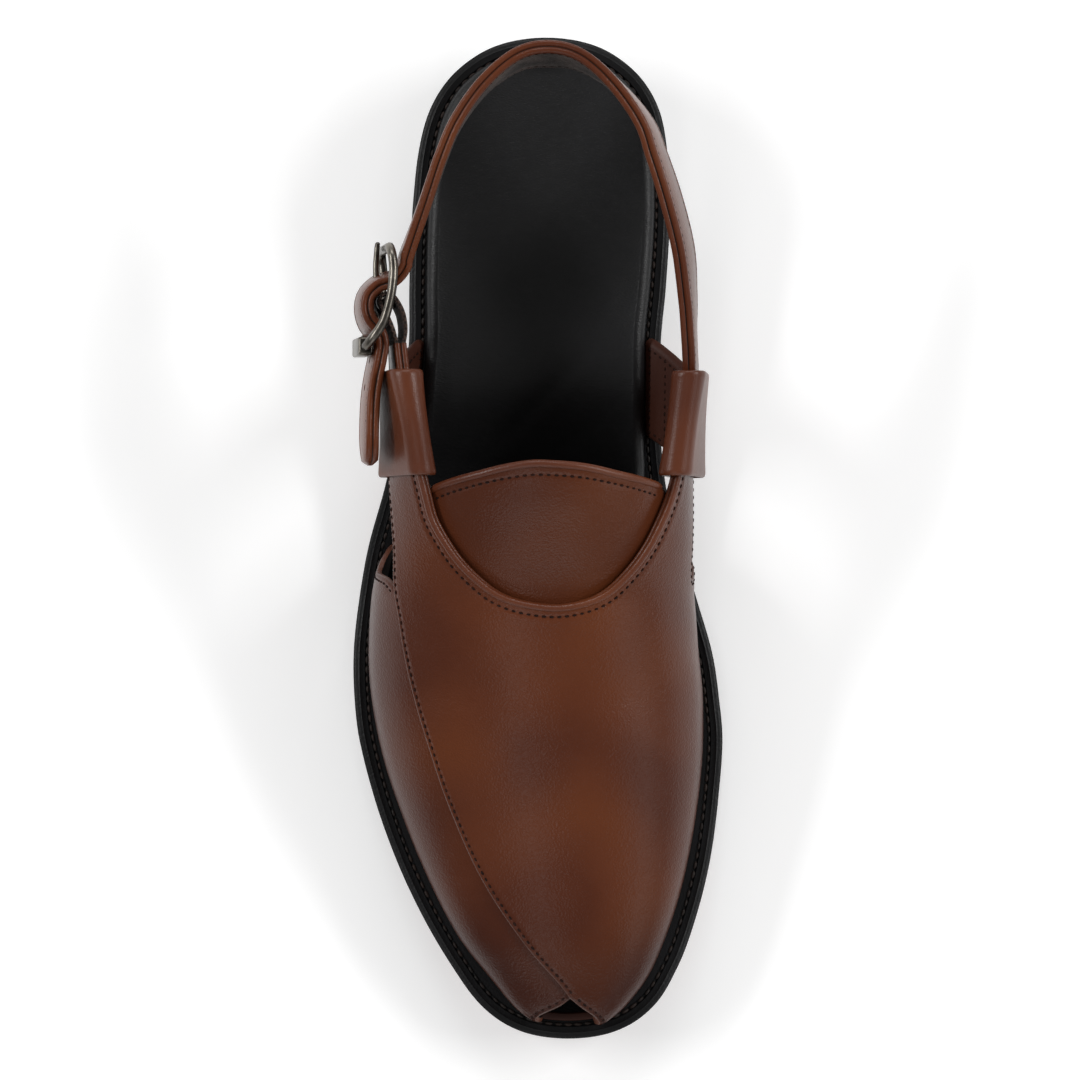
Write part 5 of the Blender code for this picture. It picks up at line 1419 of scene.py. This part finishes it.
def punch(piece, cutters):
    """Cuts closed shapes out of a piece and keeps the result as its plain mesh."""
    mesh = shape_mesh("punch", *joined(*cutters))
    shape = bmesh.new()
    shape.from_mesh(mesh)
    bmesh.ops.recalc_face_normals(shape, faces=shape.faces)
    shape.to_mesh(mesh)
    shape.free()
    tool = new_object("punch", mesh)
    modifier = piece.modifiers.new("punch", "BOOLEAN")
    modifier.operation, modifier.solver, modifier.object = "DIFFERENCE", "EXACT", tool
    modified_mesh(piece)
    bpy.data.objects.remove(tool)


def strap_path():
    rows = [strap_place(row) for row in HEEL_STRAP] + [buckle_station(row) for row in STRAP_IN_BUCKLE]
    return spaced(curve_through(rows, 10), 0.0013)


def make_heel_strap(sizes):
    path = strap_path()
    section, kinds = layered_section(STRAP_THICKNESS, STRAP_WIDTH, STRAP_WIDTH / 2 - sizes.strap_margin, 0.00022)
    points, faces, kinds, uv = strip(path, section, kinds, tips=(0, 0.009))
    finishes = [FINISHES[name] for name in ("strap", "suede", "strap", "seam")]
    strap = add_piece("heel_strap_leather", points, faces, finishes, kinds, ("heel_strap",), "upper_leather", uv=uv,
                      sharp=50)
    up, outward = band_axes(path)
    shank = prong_path()
    cutters = [sweep(shank, np.array([1.0, 0, 0]), ring((PRONG_RADIUS + 0.25) * MM, 12))]
    # Punched holes ahead of the buckle, a finger's width apart
    for aft in STRAP_HOLES:
        near = np.argmin(abs(path[:, 1] - buckle_point(0, aft)[1]) + 1e3 * (path[:, 0] > 0))
        pin = path[near, :3] + outward[near] * np.linspace(-0.004, 0.004, 2)[:, None]
        cutters.append(sweep(pin, up[near], ring(0.0011, 12)))
    punch(strap, cutters)
    sew_leather("strap_stitches", band_rows(path, STRAP_THICKNESS, STRAP_WIDTH, sizes, slice(6, -10)), sizes)


def leg_section(edges, share):
    """Upper and lower ends of a leg's middle line across the wall."""
    return [last_offset(np.array([around * PATTERN_SCALE, share * SOLE_LENGTH]), -UPPER_WALL / 2) for around in edges]


def keeper_stations(side, count):
    """Ends of the middle line of what passes through a keeper, from its front to its rear."""
    parts = np.linspace(0, 1, count)
    if side < 0:
        (top_front, low_front), (top_rear, low_rear) = LATERAL_KEEPER
        ends = []
        for part in parts:
            arounds = (top_front + (top_rear - top_front) * part, low_front + (low_rear - low_front) * part)
            share = KEEPER_FRONT_SHARE + (KEEPER_REAR_SHARE - KEEPER_FRONT_SHARE) * part
            ends.append(leg_section(arounds, share))
        return np.array(ends).transpose(1, 0, 2)
    front = leg_section(MEDIAL_KEEPER_FRONT, KEEPER_FRONT_SHARE)
    middle = strap_place(MEDIAL_KEEPER_REAR)
    half = np.array([-math.sin(middle[3]), 0, math.cos(middle[3])]) * (STRAP_WIDTH / 2)
    rears = (middle[:3] + half, middle[:3] - half)
    return np.array([f + (r - f) * parts[:, None] for f, r in zip(front, rears)])


def make_keeper(name, side, sizes):
    """Loop of leather round the strap and leg: a pinched tube with flared rolled ends, on a doubled stitched tab."""
    count = 49
    top, bottom = keeper_stations(side, count)
    axis = unit(top - bottom)
    outward = np.stack([axis[:, 2], axis[:, 0] * 0, -axis[:, 0]], -1) * side
    run = unit(np.gradient((top + bottom) / 2, axis=0))
    part = np.linspace(0, 1, count)
    flare = (1 - 0.1 * np.sin(math.pi * part) ** 0.8) * (1 if side > 0 else 0.86 + 0.14 * part)
    turns = np.radians(np.linspace(-90, 90, 17))
    shape = [(bottom, -1, t) for t in turns] + [(top, 1, t) for t in turns[::-1]]

    def loop(station, radius, ahead):
        rows = []
        for centre, way, t in shape:
            place = centre[station] + (axis[station] * way * math.cos(t) + outward[station] * math.sin(t)) * radius
            rows.append(place + run[station] * ahead)
        return rows

    outer, wall = KEEPER_ROOM + KEEPER_WALL, KEEPER_WALL
    loops = [loop(k, outer * flare[k] if 0 < k < count - 1 else outer * flare[k] - 0.0001, 0.0) for k in range(count)]
    for station, ahead in ((count - 1, 1), (0, -1)):
        rolls = [(outer - wall * 0.2, 0.0006), (outer - wall * 0.5, 0.0008), (outer - wall * 0.8, 0.0006)]
        end = [loop(station, radius * flare[station], ahead * reach) for radius, reach in rolls]
        if ahead > 0:
            loops += end
            loops += [loop(k, KEEPER_ROOM * (flare[k] + 0.04), 0.0) for k in range(count - 1, -1, -1)]
        else:
            loops += end[::-1]
    loops = np.array(loops)
    rows, columns = loops.shape[:2]
    tube = torus_faces(rows, columns)
    inner_from = count + 3
    kinds = [1 if inner_from <= k < inner_from + count - 1 else 0 for k in range(rows) for _ in range(columns)]
    neck = bottom - axis * (KEEPER_ROOM + KEEPER_WALL / 2) * flare[:, None]
    foot_xy = sole_edge(turn_at(share_at(bottom[:, 1] + KEEPER_SLANT)), side, KEEPER_FOOT_INSET + part * 0)
    foot = np.column_stack([foot_xy, welt_top(share_at(foot_xy[:, 1])) + CLEARANCE])
    down = np.array([0, 0.12, 0.25, 0.4, 0.55, 0.7, 0.85, 1.0])

    def bow(place):
        return KEEPER_BOW * np.sin(place * math.pi) ** 0.7

    sheet = neck[:, None] * (1 - down[:, None]) + foot[:, None] * down[:, None] + outward[:, None] * bow(down[:, None])
    level = np.array([side * KEEPER_WALL, 0, 0])
    narrow = np.ones(count)
    narrow[[0, -1]] = 0.35
    narrow[[1, -2]] = 0.8
    thick = level * narrow[:, None, None]
    tab_points, tab_faces = solid_between([sheet - thick, sheet, sheet + thick])
    points, faces = joined((loops.reshape(-1, 3), tube), (tab_points, tab_faces))
    # The whole tab takes the dark lining finish: painted shade, as the tab lies in shade beneath the loop
    kinds += [1] * len(tab_faces)
    finishes = [FINISHES["bead"], FINISHES["keeper_lining"]]
    add_piece(name + "_leather", points, faces, finishes, kinds, (name,), "upper_leather", sharp=60)

    def on_tab(station, place):
        sewn = neck[station] * (1 - place) + foot[station] * place
        return sewn + outward[station] * bow(place)

    # A box of stitches on both faces of the tab
    places = np.linspace(0.16, 0.93, 12)[:, None]
    lines = []
    for face in (1, -1):
        lines += [on_tab(slice(4, -4), place) + level * face for place in (0.62, 0.93)]
        lines += [on_tab(station, places) + level * face for station in (4, count - 5)]
    sew_leather(name + "_stitches", lines, sizes)


def make_chape(sizes):
    """Small tab that joins the elastic to the outer leg."""
    end_share = LATERAL_LEG_EDGE[0][1] - 2 * CLEARANCE / SOLE_LENGTH
    top, bottom = leg_section(LEG_END_LATERAL, end_share)
    front = np.array([*((top + bottom) / 2), math.atan2(top[0] - bottom[0], top[2] - bottom[2])])
    rear = buckle_station(TAB_REAR)
    path = rear + (front - rear) * np.linspace(0, 1, 17)[:, None]
    section, kinds = layered_section(TAB_THICKNESS, TAB_WIDTH, TAB_WIDTH / 2 - sizes.strap_margin, 0.00018)
    points, faces, kinds, uv = strip(path, section, kinds)
    finishes = [FINISHES["strap"], FINISHES["keeper_lining"], FINISHES["strap"], FINISHES["seam"]]
    add_piece("chape_tab_leather", points, faces, finishes, kinds, ("chape_tab",), "upper_leather", uv=uv, sharp=50)
    sew_leather("chape_stitches", band_rows(path, TAB_THICKNESS, TAB_WIDTH, sizes, slice(1, -1)), sizes)


# Buckle


def frame_out(aft):
    """How far out the bowed frame lies at a place along it, in millimetres."""
    curve = curve_through(FRAME_PLAN, 12)[::-1]
    return np.interp(aft, curve[:, 1], curve[:, 0])


def prong_path():
    places = curve_through(PRONG_PATH, 8)
    return buckle_point(places[:, 0], places[:, 1])


def rounded_box(out, aft, corner, steps=6):
    """Outline of a rectangle with rounded corners in (out, aft) millimetres."""
    outline = []
    for first, way_out, way_aft in ((0, 1, 1), (90, -1, 1), (180, -1, -1), (270, 1, -1)):
        outline += edge_arc((way_out * (out - corner), way_aft * (aft - corner)), corner, first, first + 90, steps)
    return np.array(outline)


def sleeve(outline, hole, half, soft, centre):
    """Tube between two matching outlines of (out, aft) places, with softened ends."""
    middle = (outline + hole) / 2
    near = outline + (middle - outline) * 0.3
    levels = [(outline, -half + soft), (outline, half - soft), (near, half - soft * 0.3), (middle, half)]
    levels += [(hole, half - soft * 0.5), (hole, -half + soft * 0.5), (middle, -half), (near, -half + soft * 0.3)]
    rows = np.array([buckle_point(centre[0] + shape[:, 0], centre[1] + shape[:, 1], up) for shape, up in levels])
    return rows.reshape(-1, 3), torus_faces(*rows.shape[:2])


def make_buckle():
    """Bowed centre-bar buckle: frame with its bar, flat roller on the front bar, and prong."""
    rear, front, high = FRAME_PLAN[0][1], FRAME_PLAN[-1][1], FRAME_HEIGHT / 2
    corner = FRAME_CORNER
    loop = []
    for aft_end, up_end, first in ((rear, high, 0), (front, high, 90), (front, -high, 180), (rear, -high, 270)):
        centre = (aft_end - math.copysign(corner, aft_end), up_end - math.copysign(corner, up_end))
        loop += edge_arc(centre, corner, first, first + 90, 9)
    loop = spaced(np.array(loop + loop[:1]), 0.7)[:-1]
    path = buckle_point(frame_out(loop[:, 0]), loop[:, 0], loop[:, 1])
    out = np.array([1.0, 0, 0])
    shape = ring(FRAME_BAR / 2 * MM, 16) * (1, 0.95)
    parts = [sweep(path, out, shape, closed=True)]
    bar = buckle_point(0, 0, np.linspace(-high, high, 9))
    parts.append(sweep(bar, out, ring(CENTRE_BAR / 2 * MM, 14)))
    add_piece("buckle_frame_metal", *joined(*parts), FINISHES["metal"], replaced=("buckle_frame",),
              slot="antique_nickel", sharp=50)
    room = FRAME_BAR / 2 * 0.95 + 0.1
    outline = rounded_box(room + 0.6, ROLLER_LENGTH / 2, 0.6)
    hole = rounded_box(room * 0.6, room * 0.6, 0.3)
    roller = sleeve(outline, hole, ROLLER_HEIGHT / 2, 0.5, FRAME_PLAN[-1])
    add_piece("buckle_roller_metal", *roller, FINISHES["metal"], replaced=("buckle_roller",), slot="antique_nickel",
              sharp=50)
    turn = np.linspace(0, 2 * math.pi, 25)[:-1]
    circle = np.stack([np.cos(turn), np.sin(turn)], -1)
    inner = CENTRE_BAR / 2 + 0.3
    eye = sleeve(circle * (inner + 0.9), circle * inner, 1.2, 0.4, (0, 0))
    shank = prong_path()
    section = ring(PRONG_RADIUS * MM, 12) * np.linspace(1.0, 0.72, len(shank))[:, None, None]
    section[-2:] *= np.array([0.85, 0.5])[:, None, None]
    parts = joined(eye, sweep(shank, out, section))
    add_piece("buckle_prong_metal", *parts, FINISHES["metal"], replaced=("buckle_prong",), slot="antique_nickel",
              sharp=50)


def make_elastic():
    """Woven loop round the centre bar, open in the middle for the prong."""
    rows = np.array([[*buckle_point(*row), 0.0] for row in ELASTIC_LOOP])
    path = spaced(curve_through(rows, 10), 0.0005)
    upright = buckle_point(0, 0, 1) - buckle_point(0, 0, 0)
    half, thick = ELASTIC_WIDTH / 2, ELASTIC_THICKNESS / 2
    levels = np.linspace(-half + 0.0003, half - 0.0003, 13)
    section = [(thick, y) for y in levels] + [(0, half)] + [(-thick, y) for y in levels[::-1]] + [(0, -half)]
    section = np.array(section)
    points, faces, kinds, uv = strip(path, section, [0] * len(section), upright)
    elastic = add_piece("buckle_elastic_woven", points, faces, FINISHES["elastic"], None, ("buckle_elastic",),
                        "webbing", uv=uv, sharp=50)
    reach, high = 3.4, ELASTIC_WINDOW / 2
    outline = rounded_box(reach, reach, 0.4)
    low, tall = buckle_point(outline[:, 0], outline[:, 1], -high), buckle_point(outline[:, 0], outline[:, 1], high)
    count = len(outline)
    faces = [((k - 1) % count, k, k + count, (k - 1) % count + count) for k in range(count)]
    faces += [tuple(range(count)), tuple(range(2 * count - 1, count - 1, -1))]
    punch(elastic, [(np.vstack([low, tall]), faces)])


# Stage


FLOOR_LEVEL = -0.0001
LIGHT_AIM = (0.0, -0.11, 0.03)
# Name, place, width and height in metres, and power as a part of the softboxes'
LIGHTS = (
    ("left_softbox", (-1.45, 0.25, 1.2), (1.0, 0.25), 1.0),
    ("right_softbox", (1.45, 0.25, 1.2), (1.0, 0.25), 1.0),
    ("low_right_softbox", (1.5, -0.9, 0.85), (1.3, 0.4), 0.2),
    ("toe_softbox", (0.0, -1.6, 0.6), (1.4, 0.5), 0.25),
    ("heel_softbox", (0.0, 1.5, 1.1), (1.4, 0.5), 0.8),
    ("strip_light", (-0.23, -1.15, 1.5), (0.14, 0.8), 0.11),
)
CAMERA_LENS = 138.56
CAMERA_PLACE = (-0.001775, -0.10895, 1.25)


def area_light(name, place, size, power):
    """A rectangle of light aimed at the shoe; size is its width along the floor and its height."""
    data = bpy.data.lights.new(name, "AREA")
    data.shape, data.size, data.size_y, data.energy = "RECTANGLE", *size, power
    lamp = new_object(name, data)
    lamp.location = place
    lamp.rotation_euler = (Vector(LIGHT_AIM) - Vector(place)).to_track_quat("-Z", "Y").to_euler()


def make_stage(look):
    """Pale plain floor, soft studio light and the camera straight above."""
    # Matt pale paper, with a little light of its own so that it stays nearly white in the photo's high key
    ground, tree, shader = new_finish("matt_pale_paper", roughness=0.9, specular_ior_level=0.2,
                                      emission_color=(1, 1, 1, 1), emission_strength=0.26)
    place = add_node(tree, "ShaderNodeTexCoord").outputs["Object"]
    fleck = add_node(tree, "ShaderNodeTexNoise", {"Vector": place, "Scale": 3.0})
    paper = ramp_of(tree, fleck, [(0.3, look.floor), (0.7, [c * 0.99 for c in look.floor])])
    feed(tree, shader, {"Base Color": paper})
    half = look.floor_size / 2
    corners = [(x * half, y * half, FLOOR_LEVEL) for x, y in ((-1, -1), (1, -1), (1, 1), (-1, 1))]
    floor = new_object("floor", shape_mesh("floor", corners, [range(4)]))
    floor.data.materials.append(ground)
    world = bpy.data.worlds.new("studio")
    world.use_nodes = True
    world.node_tree.nodes["Background"].inputs["Color"].default_value = (1, 1, 1, 1)
    world.node_tree.nodes["Background"].inputs["Strength"].default_value = look.world_light
    bpy.context.scene.world = world
    for name, place, size, part in LIGHTS:
        area_light(name, place, size, look.side_light * part)
    data = bpy.data.cameras.new("camera")
    data.lens, data.sensor_width, data.clip_start = CAMERA_LENS, 36.0, 0.01
    camera = new_object("camera", data)
    camera.location = CAMERA_PLACE
    bpy.context.scene.camera = camera
    bpy.context.scene.view_settings.view_transform = "Standard"


# Sizes and colours that a user may change


class ChappalStitches(bpy.types.PropertyGroup):
    stitch_pitch: length_field("Stitch pitch", 0.0022, "Distance from one stitch to the next on the upper and straps")
    thread: length_field("Thread radius", 0.00034, "Half thickness of the sewing thread")
    stitch_share: FloatProperty(name="Stitch share", description="Part of the pitch that a stitch covers", default=0.56,
                                min=0.3, max=0.95, subtype="FACTOR")
    strap_margin: length_field("Strap margin", 0.0020, "Distance of the stitches from the strap's edges")
    welt_pitch: length_field("Welt pitch", 0.0029, "Distance from one stitch to the next round the welt")
    welt_thread: length_field("Welt thread radius", 0.0006, "Half thickness of the thread in the welt's groove")


class ChappalColours(bpy.types.PropertyGroup):
    leather: colour_field("Leather", "#5d2f1a", "Burnished brown of the upper's leather")
    leather_dark: colour_field("Leather, dark", "#512716", "Brown where the dye was rubbed in")
    leather_light: colour_field("Leather, light", "#67351a", "Brown where the dye was rubbed off")
    # Also the lighter band along the upper's cut edges, partly their own colour and partly a painted highlight on the
    # rounded lip
    edge: colour_field("Cut edge", "#54352a", "Lighter brown of cut and rolled edges")
    footbed: colour_field("Footbed", "#0e0e0f", "Black of the padded footbed")
    sole: colour_field("Outsole", "#6c2c1e", "Red-brown of the outsole")
    tread: colour_field("Tread", "#261f1d", "Dark brown-grey of the tread and heel tip")
    thread: colour_field("Thread", "#1c0e0a", "Dark brown of the sewing thread")
    metal: colour_field("Metal", "#7b766e", "Antiqued nickel of the buckle")


class ChappalStage(bpy.types.PropertyGroup):
    floor: colour_field("Floor", "#f4f4f4", "Colour of the plain floor")
    floor_size: length_field("Floor size", 12.0, "Side of the square floor")
    world_light: FloatProperty(name="Ambient light", description="Strength of the white surroundings", default=0.2,
                               min=0)
    side_light: FloatProperty(name="Softboxes", description="Power of the soft lights", default=15.0, min=0,
                              unit="POWER")


class CHAPPAL_OT_finishes(bpy.types.Operator):
    """Make the leathers, rubber, thread and metal."""

    bl_idname = "chappal.finishes"
    bl_label = "Finishes"

    def execute(self, context):
        make_finishes(context.scene.chappal_colours)
        return {"FINISHED"}


class CHAPPAL_OT_sole(bpy.types.Operator):
    """Build the outsole, ribbed welt with its stitches, tread and stacked heel."""

    bl_idname = "chappal.sole"
    bl_label = "Sole, welt and heel"

    def execute(self, context):
        make_outsole()
        make_toe_strip()
        make_welt(context.scene.chappal_stitches)
        make_heel()
        make_tread()
        make_tip_studs()
        make_waves()
        return {"FINISHED"}


class CHAPPAL_OT_footbed(bpy.types.Operator):
    """Build the padded footbed."""

    bl_idname = "chappal.footbed"
    bl_label = "Footbed"

    def execute(self, context):
        make_footbed()
        return {"FINISHED"}


class CHAPPAL_OT_upper(bpy.types.Operator):
    """Build the upper's panels with their seams, the bound throat and the tongue."""

    bl_idname = "chappal.upper"
    bl_label = "Upper and tongue"

    def execute(self, context):
        make_upper(context.scene.chappal_stitches)
        make_tongue(context.scene.chappal_stitches)
        return {"FINISHED"}


class CHAPPAL_OT_straps(bpy.types.Operator):
    """Build the heel strap, both keepers and the chape tab."""

    bl_idname = "chappal.straps"
    bl_label = "Straps and keepers"

    def execute(self, context):
        sizes = context.scene.chappal_stitches
        make_heel_strap(sizes)
        make_keeper("keeper_lateral", -1, sizes)
        make_keeper("keeper_medial", 1, sizes)
        make_chape(sizes)
        return {"FINISHED"}


class CHAPPAL_OT_buckle(bpy.types.Operator):
    """Build the buckle's frame, roller and prong, and the elastic that holds it."""

    bl_idname = "chappal.buckle"
    bl_label = "Buckle"

    def execute(self, context):
        make_buckle()
        make_elastic()
        return {"FINISHED"}


class CHAPPAL_OT_stage(bpy.types.Operator):
    """Build the floor, lights and camera."""

    bl_idname = "chappal.stage"
    bl_label = "Stage"

    def execute(self, context):
        make_stage(context.scene.chappal_stage)
        return {"FINISHED"}


STEPS = (
    CHAPPAL_OT_finishes,
    CHAPPAL_OT_sole,
    CHAPPAL_OT_footbed,
    CHAPPAL_OT_upper,
    CHAPPAL_OT_straps,
    CHAPPAL_OT_buckle,
    CHAPPAL_OT_stage,
)
GROUPS = {
    "chappal_stitches": ChappalStitches,
    "chappal_colours": ChappalColours,
    "chappal_stage": ChappalStage,
}


class CHAPPAL_PT_build(bpy.types.Panel):
    bl_label = "Chappal"
    bl_idname = "CHAPPAL_PT_build"
    bl_space_type = "VIEW_3D"
    bl_region_type = "UI"
    bl_category = "Chappal"

    def draw(self, context):
        for field, group in GROUPS.items():
            for name in group.__annotations__:
                self.layout.prop(getattr(context.scene, field), name)
        for step in STEPS:
            self.layout.operator(step.bl_idname)


def register():
    for kind in (*GROUPS.values(), *STEPS, CHAPPAL_PT_build):
        bpy.utils.register_class(kind)
    for field, group in GROUPS.items():
        setattr(bpy.types.Scene, field, PointerProperty(type=group))


def unregister():
    for field in GROUPS:
        delattr(bpy.types.Scene, field)
    for kind in (CHAPPAL_PT_build, *reversed(STEPS), *GROUPS.values()):
        bpy.utils.unregister_class(kind)


def main():
    register()
    for step in STEPS:
        group, name = step.bl_idname.split(".")
        getattr(getattr(bpy.ops, group), name)()
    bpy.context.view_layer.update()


if __name__ == "__main__":
    main()
